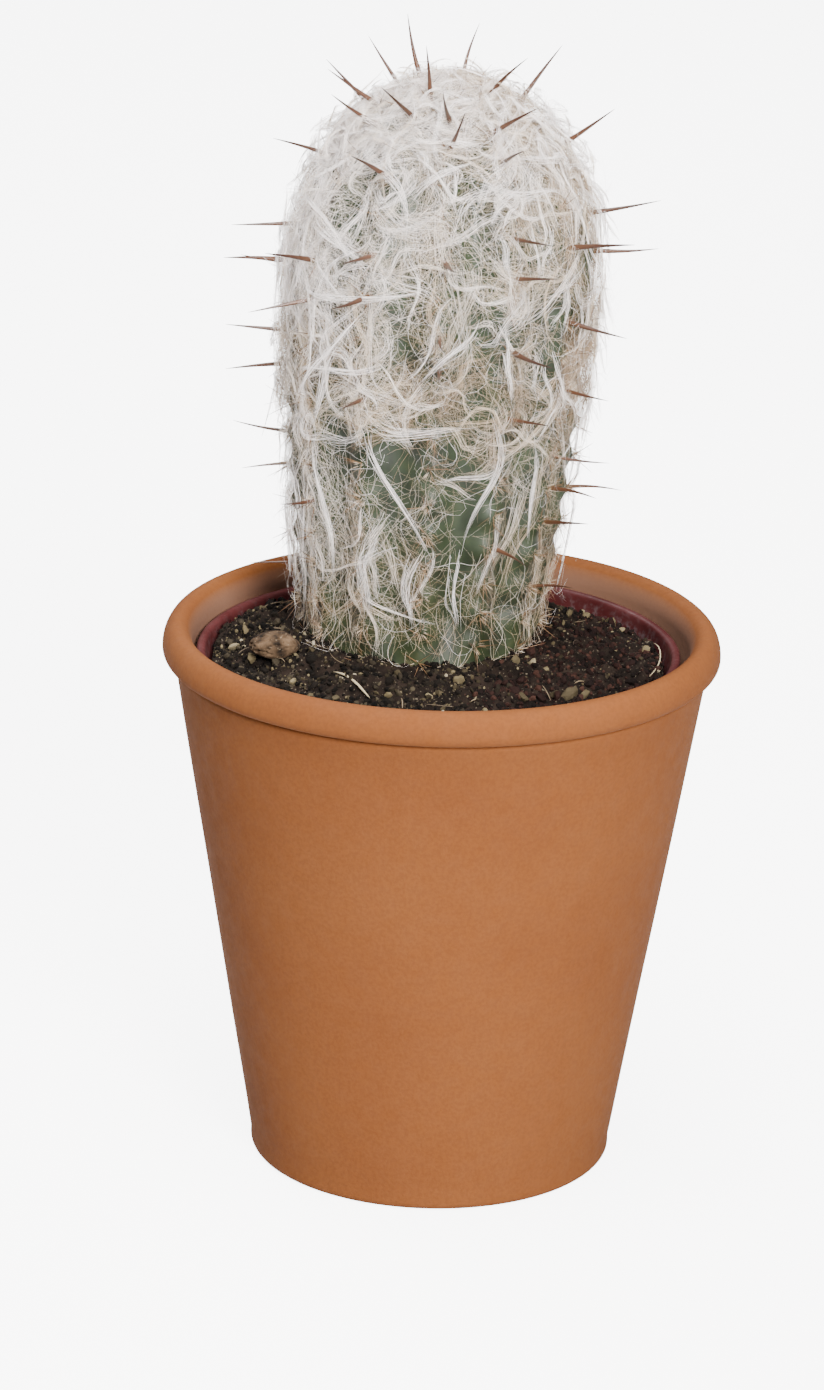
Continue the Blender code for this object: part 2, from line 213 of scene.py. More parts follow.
def smooth_profile(points, spacing):
    """Points along a polyline at most one spacing apart, keeping its corners."""
    points = np.asarray(points, float)
    out = [points[:1]]
    for a, b in zip(points[:-1], points[1:]):
        count = max(1, int(math.ceil(np.linalg.norm(b - a) / spacing)))
        share = np.linspace(0.0, 1.0, count + 1)[1:, None]
        out.append(a + (b - a) * share)
    return np.concatenate(out)


def ellipse_arc(cx, cz, rx, rz, start, end, steps):
    """Points on an ellipse, with angles in degrees from the +radius direction."""
    a = np.radians(np.linspace(start, end, steps))
    return np.stack([cx + rx * np.cos(a), cz + rz * np.sin(a)], -1)


def waves(x, y, z, rng, count, low, high):
    """Smooth noise: a sum of sine waves with random directions and lengths, about -1 to 1."""
    total = np.zeros_like(x)
    for _ in range(count):
        way = rng.normal(size=3)
        way *= rng.uniform(low, high) / np.linalg.norm(way)
        total = total + np.sin(way[0] * x + way[1] * y + way[2] * z + rng.uniform(0, 6.283))
    return total / math.sqrt(count)


def fade(value, start, span):
    """0 at the start, 1 a span further on, straight in between; a negative span runs downwards."""
    return np.clip((value - start) / span, 0.0, 1.0)


def shares(points):
    """Equal steps from 0 at a strand's root to 1 at its end, as one row."""
    return np.linspace(0.0, 1.0, points)[None, :]


# =====================================================================
# Stem surface, shared by skin, spines and wool
# =====================================================================
def crest(distance):
    """Rib crest line: radius, height and normal's slope at a distance along it from the soil line.

    Below the shoulder the radius grows as one minus the square of what is left to the shoulder.
    Above it the line is a quarter of an ellipse up to the apex, and it runs on over the top.
    """
    d = np.asarray(distance, float)
    left = 1.0 - np.clip(d, 0.0, FLANK) / FLANK
    angle = np.maximum(d - FLANK, 0.0) / DOME_MEAN
    radius = np.where(d <= FLANK, SHOULDER_RADIUS - (SHOULDER_RADIUS - SOIL_LINE_RADIUS) * left ** 2,
                      SHOULDER_RADIUS * np.cos(angle))
    height = np.where(d <= FLANK, SOIL_LINE_Z + d, SHOULDER_Z + DOME_RISE * np.sin(angle))
    slope = np.arctan2(SHOULDER_RADIUS * np.sin(angle), DOME_RISE * np.cos(angle))
    return radius, height, np.where(d <= FLANK, 0.0, slope)


def valley_share(angle):
    """0 on a rib's crest, 1 in the valley between two ribs."""
    return 0.5 - 0.5 * np.cos(RIB_COUNT * (angle - FRONT_RIB_ANGLE))


def rib_fade(distance, radius):
    """How much of the rib depth is there: none at the soil line and at the apex."""
    return fade(distance, 0.0, RIB_FADE_LENGTH) * fade(np.abs(radius), 0.0, RIB_FADE_RADIUS)


def areole_shift(rib):
    """Every second rib has its areoles half a step further up."""
    return np.where(np.mod(rib, 2) > 0.5, AREOLE_STEP / 2.0, 0.0)


def skin_drop(angle, distance):
    """How far the skin lies under the crest line, valleys and the notches between areoles together."""
    valley = valley_share(angle) * RIB_DEPTH
    rib = np.round((angle - FRONT_RIB_ANGLE) / RIB_STEP)
    phase = (distance - AREOLE_START - areole_shift(rib)) / AREOLE_STEP
    notch = (0.5 - 0.5 * np.cos(2.0 * math.pi * phase)) * (1.0 - valley_share(angle)) * NOTCH_DEPTH
    return (valley + notch) * rib_fade(distance, crest(distance)[0])


def over_skin(angle, distance):
    """Height of the skin over the crest line: 0 on a crest, negative in a valley or a notch."""
    return -skin_drop(angle, np.clip(distance, 0.0, RIB_END))


def girth(distance, least=NARROWEST):
    """Radius of the crest line, also beyond the apex, but never less than the least."""
    return np.maximum(np.abs(crest(distance)[0]), least)


def on_stem(angle, distance, height):
    """Point at a height over the crest line, and the crest line's outward normal there."""
    radius, z, slope = crest(distance)
    out = np.stack([np.cos(angle), np.sin(angle), np.zeros_like(z)], -1)
    up = np.zeros_like(out)
    up[..., 2] = 1.0
    normal = out * np.cos(slope)[..., None] + up * np.sin(slope)[..., None]
    axis = np.stack([*stem_axis_xy(z), z], -1)
    return axis + out * radius[..., None] + normal * height[..., None], normal


# =====================================================================
# Materials
# =====================================================================
def new_material(name, roughness, coat=0.0, specular=0.5):
    """A new material, its node tree and its main shader."""
    mat = bpy.data.materials.new(name)
    mat.use_nodes = True
    shader = mat.node_tree.nodes["Principled BSDF"]
    for socket, value in (("Roughness", roughness), ("Coat Weight", coat), ("Specular IOR Level", specular)):
        shader.inputs[socket].default_value = value
    return mat, mat.node_tree, shader


def paint(tree, shader, colour, rough=None):
    """Link the shader's colour, and its roughness where one is given."""
    tree.links.new(colour, shader.inputs["Base Color"])
    if rough is not None:
        tree.links.new(rough, shader.inputs["Roughness"])


def scaled(colour, *factors):
    """A colour with each part multiplied, up to 1."""
    return tuple(min(1.0, part * factor) for part, factor in zip(colour, factors))


def noise(tree, coords, scale, detail=4.0, roughness=0.55):
    """Noise between 0 and 1; the scale is a number or a socket."""
    node = tree.nodes.new("ShaderNodeTexNoise")
    tree.links.new(coords, node.inputs["Vector"])
    for name, value in (("Scale", scale), ("Detail", detail), ("Roughness", roughness)):
        put(tree, node.inputs[name], value)
    return node.outputs["Fac"]


def object_coords(tree):
    """The piece's own Object coordinates, in metres."""
    return tree.nodes.new("ShaderNodeTexCoord").outputs["Object"]


def split_xyz(tree, vector):
    """The X, Y and Z outputs of a vector."""
    split = tree.nodes.new("ShaderNodeSeparateXYZ")
    tree.links.new(vector, split.inputs["Vector"])
    return split.outputs


def map_range(tree, value, low, high, top=1.0):
    """0 where the value is low and the top number where it is high, held at both ends."""
    node = tree.nodes.new("ShaderNodeMapRange")
    for name, number in (("From Min", low), ("From Max", high), ("To Max", top)):
        node.inputs[name].default_value = number
    tree.links.new(value, node.inputs["Value"])
    return node.outputs["Result"]


def ramp(tree, source, stops):
    """A colour ramp from (position, colour) stops; a colour is three numbers or one grey."""
    node = tree.nodes.new("ShaderNodeValToRGB")
    elements = node.color_ramp.elements
    while len(elements) < len(stops):
        elements.new(0.5)
    for element, (position, colour) in zip(elements, stops):
        element.position = position
        rgb = colour if hasattr(colour, "__len__") else (colour, colour, colour)
        element.color = (*rgb, 1.0)
    tree.links.new(source, node.inputs["Fac"])
    return node.outputs["Color"]


def mix(tree, factor, a, b, blend="MIX"):
    """Mix two colours; each may be a socket or a colour, and the factor a socket or a number."""
    node = tree.nodes.new("ShaderNodeMix")
    node.data_type = "RGBA"
    node.blend_type = blend
    put(tree, node.inputs[0], factor)
    put(tree, node.inputs[6], a)
    put(tree, node.inputs[7], b)
    return node.outputs[2]


def put(tree, socket, value):
    """Link a socket to an input, or set the input's own value."""
    if isinstance(value, bpy.types.NodeSocket):
        tree.links.new(value, socket)
    elif hasattr(value, "__len__"):
        socket.default_value = (*value, 1.0)
    else:
        socket.default_value = value


def math_node(tree, operation, *values):
    """One sum on numbers or sockets."""
    node = tree.nodes.new("ShaderNodeMath")
    node.operation = operation
    for socket, value in zip(node.inputs, values):
        put(tree, socket, value)
    return node.outputs[0]


def bump(tree, shader, height, strength, distance):
    """Tilt the shader's normal by a height field that is up to a distance high."""
    node = tree.nodes.new("ShaderNodeBump")
    node.inputs["Strength"].default_value = strength
    node.inputs["Distance"].default_value = distance
    tree.links.new(height, node.inputs["Height"])
    tree.links.new(node.outputs["Normal"], shader.inputs["Normal"])


def uv_part(tree, part):
    """X or Y of the piece's own UV map."""
    uv = tree.nodes.new("ShaderNodeUVMap")
    uv.uv_map = "OFBake"
    return split_xyz(tree, uv.outputs["UV"])[part]


def grain_group():
    """Shader group for grainy stuff: a coarse mottle, a nine times finer noise, and sparse specks.

    A speck is where a noise six times finer than the mottle is above 0.66, and it is full from 0.72.
    """
    found = bpy.data.node_groups.get("grain")
    if found:
        return found
    group = bpy.data.node_groups.new("grain", "ShaderNodeTree")
    for name, kind in (("Vector", "Vector"), ("Scale", "Float"), ("Speck Amount", "Float")):
        group.interface.new_socket(name=name, in_out="INPUT", socket_type="NodeSocket" + kind)
    for name in ("Mottle", "Fine", "Specks"):
        group.interface.new_socket(name=name, in_out="OUTPUT", socket_type="NodeSocketFloat")
    enter = group.nodes.new("NodeGroupInput").outputs
    leave = group.nodes.new("NodeGroupOutput").inputs
    mottle, fine, speck = (
        noise(group, enter["Vector"], math_node(group, "MULTIPLY", enter["Scale"], factor), detail, 0.5)
        for factor, detail in ((1.0, 4.0), (9.0, 3.0), (6.0, 1.0)))
    specks = math_node(group, "MULTIPLY", map_range(group, speck, 0.66, 0.72), enter["Speck Amount"])
    for name, field in (("Mottle", mottle), ("Fine", fine), ("Specks", specks)):
        group.links.new(field, leave[name])
    return group


def place_grain(tree, scale, speck_amount=0.0):
    """The outputs of the grain group, laid in Object coordinates."""
    node = tree.nodes.new("ShaderNodeGroup")
    node.node_tree = grain_group()
    tree.links.new(object_coords(tree), node.inputs["Vector"])
    node.inputs["Scale"].default_value = scale
    node.inputs["Speck Amount"].default_value = speck_amount
    return node.outputs


DRY_RADIUS_START = 0.0592
DRY_RADIUS_FULL = 0.0578
DRY_ABOVE_Z = 0.110
DRY_CLAY = (0.150, 0.092, 0.068)
DUST = (0.11, 0.09, 0.095)


def inside_share(tree):
    """Up to 0.6 on the clay pot's inner wall near the rim, where the clay is dry and pale."""
    x, y, z = split_xyz(tree, object_coords(tree))
    squares = (math_node(tree, "MULTIPLY", axis, axis) for axis in (x, y))
    radius = math_node(tree, "SQRT", math_node(tree, "ADD", *squares))
    inner = map_range(tree, radius, DRY_RADIUS_START, DRY_RADIUS_FULL, 0.6)
    return math_node(tree, "MULTIPLY", inner, math_node(tree, "GREATER_THAN", z, DRY_ABOVE_Z))


def terracotta_material(colour):
    """Unglazed clay: warm body, slow cloudy shifts and fine pores darkened with painted shade, dry and pale
    high on the inside.
    """
    mat, tree, shader = new_material("terracotta_clay", 0.78, specular=0.18)
    grain = place_grain(tree, 24.0)
    dark = scaled(colour, 0.93, 0.90, 0.88)
    light = scaled(colour, 1.05, 1.08, 1.12)
    body = ramp(tree, grain["Mottle"], ((0.32, dark), (0.5, colour), (0.70, light)))
    pores = noise(tree, object_coords(tree), 1100.0, 3.0)
    # painted shade: the clay is darker in the pores, where the same noise dents the surface in the bump
    body = mix(tree, 1.0, body, ramp(tree, pores, ((0.35, 0.88), (0.62, 1.0))), "MULTIPLY")
    body = mix(tree, inside_share(tree), body, DRY_CLAY)
    paint(tree, shader, body, ramp(tree, grain["Fine"], ((0.3, 0.80), (0.7, 0.94))))
    bump(tree, shader, pores, 0.22, 0.0002)
    return mat


def nursery_material(colour):
    """Dark wine-brown moulded plastic, a little mottled, with patches of dust below its rim."""
    mat, tree, shader = new_material("nursery_plastic", 0.5, specular=0.18)
    grain = place_grain(tree, 60.0)
    light = tuple(min(1.0, part * 1.7 + 0.01) for part in colour)
    body = ramp(tree, grain["Mottle"], ((0.35, colour), (0.75, light)))
    coords = object_coords(tree)
    below_rim = map_range(tree, split_xyz(tree, coords)["Z"], INNER_HIGH[2] + 0.0004, INNER_HIGH[2] - 0.0034)
    patches = ramp(tree, noise(tree, coords, 420.0, 4.0, 0.7), ((0.50, 0.0), (0.66, 1.0)))
    dust = math_node(tree, "MULTIPLY", patches, below_rim)
    body = mix(tree, math_node(tree, "MULTIPLY", dust, 0.5), body, DUST)
    paint(tree, shader, body, ramp(tree, grain["Fine"], ((0.3, 0.42), (0.7, 0.62))))
    bump(tree, shader, grain["Fine"], 0.15, 0.0002)
    return mat


def peat_material(colour):
    """Damp peat: near black with brown crumbs and tiny pale specks."""
    mat, tree, shader = new_material("peat", 0.95, specular=0.08)
    grain = place_grain(tree, 260.0, 0.6)
    body = ramp(tree, grain["Mottle"], ((0.40, colour), (0.72, scaled(colour, 3.4, 3.4, 3.4))))
    paint(tree, shader, mix(tree, grain["Specks"], body, (0.12, 0.10, 0.07)))
    bump(tree, shader, grain["Fine"], 0.6, 0.0006)
    return mat


def grain_colour_material(name, stops, roughness, bump_scale):
    """Loose grains: each grain's colour comes from its own column of the UV map, darker underneath with
    painted shade.
    """
    mat, tree, shader = new_material(name, roughness, specular=0.10)
    body = ramp(tree, uv_part(tree, "X"), stops)
    # painted shade: the map's V runs from a grain's underside to its top, and the underside is darker
    painted_shade = ramp(tree, uv_part(tree, "Y"), ((0.0, 0.72), (0.6, 1.0)))
    rough = ramp(tree, uv_part(tree, "X"), ((0.0, roughness), (1.0, roughness * 0.85)))
    paint(tree, shader, mix(tree, 1.0, body, painted_shade, "MULTIPLY"), rough)
    bump(tree, shader, noise(tree, object_coords(tree), bump_scale, 2.0), 0.5, 0.0003)
    return mat


def pumice_material():
    """Porous brown lump with pits darkened by painted shade, and pale crumbs."""
    mat, tree, shader = new_material("pumice_stone", 0.95, specular=0.15)
    grain = place_grain(tree, 330.0, 0.8)
    # painted shade: the mottle is darkest where the bump below sinks it into pits
    body = ramp(tree, grain["Mottle"], (
        (0.36, (0.009, 0.006, 0.004)), (0.5, (0.052, 0.032, 0.018)), (0.7, (0.110, 0.070, 0.041))))
    paint(tree, shader, mix(tree, grain["Specks"], body, (0.15, 0.115, 0.078)))
    bump(tree, shader, grain["Mottle"], 0.8, 0.0008)
    return mat


def skin_material(colour):
    """Waxy mottled green skin, fresh from the middle up, and browner and corky towards the soil."""
    mat, tree, shader = new_material("green_skin", 0.5, 0.04)
    coords = object_coords(tree)
    height = map_range(tree, split_xyz(tree, coords)["Z"], SOIL_LINE_Z, SOIL_LINE_Z + 0.055)
    mottle = noise(tree, coords, 140.0, 5.0, 0.65)
    dark = scaled(colour, 0.45, 0.45, 0.45)
    light = scaled(colour, 1.7, 1.5, 1.4)
    fresh = ramp(tree, mottle, ((0.35, dark), (0.52, colour), (0.72, light)))
    old = ramp(tree, mottle, (
        (0.35, (0.007, 0.012, 0.004)), (0.55, (0.018, 0.027, 0.008)), (0.75, (0.050, 0.042, 0.015))))
    age = math_node(tree, "MULTIPLY_ADD", height, -0.85, 0.85)
    paint(tree, shader, mix(tree, age, fresh, old), ramp(tree, mottle, ((0.3, 0.42), (0.7, 0.62))))
    bump(tree, shader, noise(tree, coords, 1400.0, 3.0), 0.25, 0.0002)
    return mat


def spine_material():
    """Horny spine: straw-coloured foot, red-brown shaft and a nearly black tip, by its length."""
    mat, tree, shader = new_material("brown_spine", 0.42, 0.08)
    length = ramp(tree, uv_part(tree, "Y"), (
        (0.0, (0.100, 0.052, 0.024)), (0.25, (0.070, 0.028, 0.012)), (0.6, (0.042, 0.015, 0.007)),
        (1.0, (0.017, 0.007, 0.004))))
    tint = ramp(tree, uv_part(tree, "X"), ((0.0, 0.75), (1.0, 1.25)))
    rough = ramp(tree, uv_part(tree, "Y"), ((0.0, 0.5), (1.0, 0.32)))
    paint(tree, shader, mix(tree, 1.0, length, tint, "MULTIPLY"), rough)
    bump(tree, shader, noise(tree, object_coords(tree), 2600.0, 2.0), 0.2, 0.0001)
    return mat


HAIR_STOPS = (
    (0.00, (0.27, 0.170, 0.095)),
    (0.18, (0.50, 0.365, 0.225)),
    (0.40, (0.69, 0.575, 0.440)),
    (0.62, (0.82, 0.735, 0.650)),
    (0.82, (0.92, 0.855, 0.820)),
    (1.00, (0.98, 0.930, 0.920)),
)


def hair_material(name, painted_root_shade):
    """Plant hair: the tint column of the UV map picks straw to white, and the root end is darker with painted
    shade.
    """
    mat, tree, shader = new_material(name, 0.55, specular=0.3)
    body = ramp(tree, uv_part(tree, "X"), HAIR_STOPS)
    # painted shade: every hair is darker at its root end, as dark as the second argument says
    painted_shade = ramp(tree, uv_part(tree, "Y"), ((0.0, painted_root_shade), (0.35, 1.0)))
    rough = ramp(tree, uv_part(tree, "X"), ((0.0, 0.7), (1.0, 0.5)))
    paint(tree, shader, mix(tree, 1.0, body, painted_shade, "MULTIPLY"), rough)
    shader.inputs["Sheen Weight"].default_value = 0.3
    return mat


# =====================================================================
# Strands
# =====================================================================
TINT_COLUMNS = 64


def tint_column(tint):
    """Which of the UV map's columns a tint from 0 to 1 falls in, one per strand or grain."""
    return np.floor(np.clip(tint, 0.0, 0.999) * TINT_COLUMNS)[:, None, None]


def tubes(name, paths, radius, tint, material, sides=3):
    """Closed tapering tubes along many paths at once.

    paths is (strands, points, 3) and radius is (strands, points). Round each point the sides stand
    at equal angles in the plane across the path. The two ends are closed by fans of triangles. The
    UV map holds the strand's tint column across and its length along.
    """
    count, points = paths.shape[:2]
    along = np.gradient(paths, axis=1)
    along /= np.maximum(np.linalg.norm(along, axis=2, keepdims=True), 1e-12)
    guide = np.zeros_like(along)
    guide[..., 2] = 1.0
    steep = np.abs(along[..., 2]) > 0.9
    guide[steep] = (1.0, 0.0, 0.0)
    across = np.cross(along, guide)
    across /= np.maximum(np.linalg.norm(across, axis=2, keepdims=True), 1e-12)
    for k in range(1, points):
        previous = across[:, k - 1]
        flat = previous - along[:, k] * np.sum(previous * along[:, k], 1, keepdims=True)
        across[:, k] = flat / np.maximum(np.linalg.norm(flat, axis=1, keepdims=True), 1e-12)
    third = np.cross(along, across)
    turn = full_turn(sides)[:, None]
    ring = across[:, :, None, :] * np.cos(turn) + third[:, :, None, :] * np.sin(turn)
    verts = paths[:, :, None, :] + ring * radius[:, :, None, None]
    body = grid_faces(points, sides, False)
    fan = np.arange(1, sides - 1)
    start = np.stack([np.zeros_like(fan), fan + 1, fan], -1)
    end = np.stack([np.zeros_like(fan), fan, fan + 1], -1) + (points - 1) * sides
    one = np.concatenate([body, start, end])
    faces = one[None] + (np.arange(count) * points * sides)[:, None, None]
    in_cap = np.arange(len(one))[:, None] >= len(body)
    lift = np.where(in_cap, 0.003 * np.arange(3)[None, :], 0.0)  # keeps a cap from being a line in the map
    v = np.clip(np.clip((one // sides) / (points - 1.0), 0.004, 0.996) + lift, 0.0, 1.0)
    wide = (one % sides + 0.5) / sides
    u = (tint_column(tint) + 0.15 + 0.7 * wide[None]) / TINT_COLUMNS
    uv = np.stack([u, np.broadcast_to(v[None], u.shape)], -1)
    return mesh_piece(name, verts, faces.reshape(-1, 3), material, uv.reshape(-1, 2))


def wander(rng, angle, distance, heading, length, curl, sway, points):
    """Paths that wander over the skin, as angles round the stem and distances along the rib.

    The heading is a start value plus a steady turn and a sine sway, and the steps are summed up.
    """
    count = len(angle)
    t = shares(points)
    pitch = rng.uniform(0.5, 1.7, (count, 1))
    phase = rng.uniform(0.0, 2.0 * math.pi, (count, 1))
    turn = heading[:, None] + curl[:, None] * t + sway[:, None] * np.sin(2.0 * math.pi * pitch * t + phase)
    step = (length / (points - 1))[:, None]
    side, rise = (np.concatenate([np.zeros((count, 1)), np.cumsum(part(turn[:, 1:]) * step, 1)], 1)
                  for part in (np.sin, np.cos))
    far = distance[:, None] + rise
    return angle[:, None] + side / girth(np.clip(far, 0.0, RIB_END)), far


def wool_piece(name, path, radius, tint, mat, *nodes):
    """A finished piece of hairs from paths as (angle, distance, height) arrays."""
    return finish_piece(tubes(name, on_stem(*path)[0], radius, tint, mat), "white_wool", *nodes)


def taper(radius, points, end_share):
    """Radius along a strand: full at the root and thinning towards the end with the square of the length."""
    t = shares(points)
    return radius[:, None] * (1.0 - (1.0 - end_share) * t * t)


def areole_spots(each):
    """Rib number and distance along the rib of every areole, each given so many times over."""
    rib = np.repeat(np.arange(RIB_COUNT), AREOLES_PER_RIB)
    step = np.tile(np.arange(AREOLES_PER_RIB), RIB_COUNT)
    distance = AREOLE_START + areole_shift(rib) + step * AREOLE_STEP
    return np.repeat(rib, each), np.repeat(distance, each)


# =====================================================================
# Pots
# =====================================================================
LIP_HALF_WIDTH = 0.0036
LIP_RISE = 0.0057
LIP_UNDERCUT = 0.0023
WALL_TOP_RADIUS = 0.0625
WALL_FOOT_RADIUS = 0.0427
WALL_THICKNESS = 0.0046
FOOT_ROUNDING = 0.0016
FOOT_RING_INNER_RADIUS = 0.0320
FOOT_RECESS = 0.0015
CLAY_FLOOR = 0.0065
DRAIN_RADIUS = 0.0090


def clay_profile():
    """Outline of the clay: foot, tapered wall, fine groove, rolled lip, inner wall, floor, drain hole."""
    rim = POT_HIGH[0]
    lip_z = POT_HIGH[2] - LIP_RISE
    inner_top = rim - 2.0 * LIP_HALF_WIDTH
    inner_foot = WALL_FOOT_RADIUS - WALL_THICKNESS
    outer = [
        ellipse_arc(WALL_FOOT_RADIUS - FOOT_ROUNDING, FOOT_ROUNDING, FOOT_ROUNDING, FOOT_ROUNDING, -90, 0, 7),
        smooth_profile([(WALL_FOOT_RADIUS, FOOT_ROUNDING + 0.002),
                        (WALL_TOP_RADIUS - 0.0009, lip_z - LIP_UNDERCUT - 0.0034)], 0.004),
        np.array([(WALL_TOP_RADIUS - 0.0006, lip_z - LIP_UNDERCUT - 0.0018),
                  (WALL_TOP_RADIUS - 0.0005, lip_z - LIP_UNDERCUT - 0.0009),
                  (WALL_TOP_RADIUS - 0.0009, lip_z - LIP_UNDERCUT - 0.0005),
                  (WALL_TOP_RADIUS - 0.0011, lip_z - LIP_UNDERCUT - 0.0001),
                  (WALL_TOP_RADIUS - 0.0009, lip_z - LIP_UNDERCUT + 0.0002)]),
        ellipse_arc(WALL_TOP_RADIUS, lip_z, rim - WALL_TOP_RADIUS, LIP_UNDERCUT, -82, -8, 8),
        ellipse_arc(rim - LIP_HALF_WIDTH, lip_z, LIP_HALF_WIDTH, LIP_RISE, 0, 180, 25),
    ]
    inner = smooth_profile([(inner_top + 0.0001, lip_z - 0.003),
                            (inner_foot + 0.0012, CLAY_FLOOR + 0.004)], 0.004)
    corner = np.array([(inner_foot + 0.0002, CLAY_FLOOR + 0.0018), (inner_foot - 0.0008, CLAY_FLOOR + 0.0008),
                       (inner_foot - 0.0022, CLAY_FLOOR + 0.0002), (inner_foot - 0.0036, CLAY_FLOOR)])
    floor = smooth_profile([(inner_foot - 0.005, CLAY_FLOOR), (DRAIN_RADIUS + 0.0012, CLAY_FLOOR)], 0.005)
    hole = np.array([(DRAIN_RADIUS + 0.0003, CLAY_FLOOR - 0.0003), (DRAIN_RADIUS, CLAY_FLOOR - 0.0012),
                     (DRAIN_RADIUS, FOOT_RECESS + 0.0010), (DRAIN_RADIUS + 0.0004, FOOT_RECESS)])
    under = smooth_profile([(DRAIN_RADIUS + 0.002, FOOT_RECESS),
                            (FOOT_RING_INNER_RADIUS - 0.0014, FOOT_RECESS)], 0.005)
    step = np.array([(FOOT_RING_INNER_RADIUS - 0.0006, FOOT_RECESS - 0.0003),
                     (FOOT_RING_INNER_RADIUS - 0.0002, 0.0005), (FOOT_RING_INNER_RADIUS + 0.0003, 0.0)])
    return np.concatenate(outer + [inner, corner, floor, hole, under, step])


def clay_wobble(radius, turn, height):
    """Hand-finished clay: noise and fine rings of a few hundredths of a millimetre, none at foot and rim."""
    rng = np.random.default_rng(5)
    x, y = radius * np.cos(turn), radius * np.sin(turn)
    swell = waves(x, y, height, rng, 9, 40.0, 160.0)
    rings = np.sin(height * 1900.0 + 1.5 * np.sin(3.0 * turn)) * 0.25
    share = fade(height, 0.002, 0.01) * fade(radius, POT_HIGH[0], -0.0008)
    return radius + (swell * 0.00007 + rings * 0.00003) * share, turn, height


def build_clay_pot(colour):
    """The clay pot: its closed outline turned round Z."""
    verts, faces = revolve(clay_profile(), 208, True, clay_wobble)
    obj = mesh_piece("clay_pot", verts, faces, terracotta_material(colour))
    return finish_piece(obj, "terracotta", "terracotta_pot")


NURSERY_WALL = 0.0012
NURSERY_FLOOR_RISE = 0.0015
NURSERY_FOOT_RADIUS = 0.0362
HOLES_IN_CIRCLE = 5
HOLE_RADIUS = 0.0035
HOLE_CIRCLE_RADIUS = 0.0220
PEG_HALF_HEIGHT = 0.004


def nursery_profile():
    """Thin tapered wall with a small turned-out rim, a flat floor and a foot ring that it stands on."""
    rim = INNER_HIGH[0] - INNER_CENTRE_X
    top = INNER_HIGH[2]
    stand = INNER_LOW[2]
    floor = stand + NURSERY_FLOOR_RISE
    wall = NURSERY_WALL
    foot_r = NURSERY_FOOT_RADIUS
    stand_r = foot_r - 0.0022
    under = [
        (0.0, floor), (0.010, floor), (0.020, floor), (stand_r - 0.0022, floor),
        (stand_r - 0.0020, floor - 0.0002), (stand_r - 0.0019, stand + 0.0002), (stand_r - 0.0016, stand),
        (stand_r - 0.0003, stand), (stand_r, stand + 0.0003), (stand_r + 0.0002, floor - 0.0003),
        (foot_r - 0.0008, floor + 0.0001), (foot_r - 0.0001, floor + 0.0007),
    ]
    outside = smooth_profile([(foot_r + 0.0001, floor + 0.0012), (rim - 0.0011, top - 0.0026)], 0.006)
    lip = [
        (rim - 0.0010, top - 0.0022), (rim - 0.0001, top - 0.0020), (rim, top - 0.0017),
        (rim, top - 0.0006), (rim - 0.0002, top - 0.0002), (rim - 0.0006, top), (rim - 0.0013, top),
        (rim - 0.0018, top - 0.0002), (rim - 0.0021, top - 0.0007),
    ]
    inside = smooth_profile([(rim - 0.0022, top - 0.0016),
                             (foot_r - wall + 0.0002, floor + wall + 0.0010)], 0.006)
    bottom = [
        (foot_r - wall - 0.0004, floor + wall + 0.0002), (foot_r - wall - 0.0012, floor + wall),
        (0.020, floor + wall), (0.010, floor + wall), (0.0, floor + wall),
    ]
    return np.concatenate([under, outside, lip, inside, bottom])


def nursery_wobble(radius, turn, height):
    """A thin pot is never quite round: its rim goes in and out by up to a third of a millimetre."""
    share = fade(height, 0.02, 0.1)
    out = 0.00022 * np.sin(2.0 * turn + 0.8) + 0.00012 * np.sin(5.0 * turn + 2.0)
    return radius - share * (0.00034 - out), turn, height


def build_nursery_pot(colour):
    """The nursery pot: its outline turned round its own centre line, with its drain holes cut."""
    verts, faces = revolve(nursery_profile(), 160, False, nursery_wobble)
    verts[:, 0] += INNER_CENTRE_X
    pot = mesh_piece("inner_pot", verts, faces, nursery_material(colour))
    cut_drain_holes(pot)
    return finish_piece(pot, "wine_plastic", "nursery_pot")


def cut_drain_holes(pot):
    """One drain hole in the middle and five round it, cut with round pegs."""
    turns = [2 * math.pi * (k + 0.25) / HOLES_IN_CIRCLE for k in range(HOLES_IN_CIRCLE)]
    spots = [(0.0, 0.0)]
    spots += [(HOLE_CIRCLE_RADIUS * math.cos(turn), HOLE_CIRCLE_RADIUS * math.sin(turn)) for turn in turns]
    z = INNER_LOW[2] + 0.002
    low, high = z - PEG_HALF_HEIGHT, z + PEG_HALF_HEIGHT
    verts, faces = revolve([(0.0, low), (HOLE_RADIUS, low), (HOLE_RADIUS, high), (0.0, high)], 32, False)
    all_verts = np.concatenate([verts + (x + INNER_CENTRE_X, y, 0.0) for x, y in spots])
    all_faces = np.concatenate([faces + k * len(verts) for k in range(len(spots))])
    pegs = mesh_piece("drain_pegs", all_verts, all_faces, pot.data.materials[0])
    mod = pot.modifiers.new("drain", "BOOLEAN")
    mod.operation = "DIFFERENCE"
    mod.object = pegs
    mod.solver = "EXACT"
    graph = bpy.context.evaluated_depsgraph_get()
    cut = bpy.data.meshes.new_from_object(pot.evaluated_get(graph))
    pot.modifiers.remove(mod)
    pot.data = cut
    bpy.data.objects.remove(pegs, do_unlink=True)


# =====================================================================
# Soil
# =====================================================================
SOIL_EDGE_Z = 0.1206
SOIL_MOUND = 0.0056
SOIL_BACK_RISE = 0.0012
SOIL_LUMPS = 0.0005
SOIL_REACH = 0.052
SOIL_SEGMENTS = 300
SOIL_RINGS = 100
SOIL_SIDE_RINGS = 14
SOIL_FLOOR_RADIUS = 0.0330


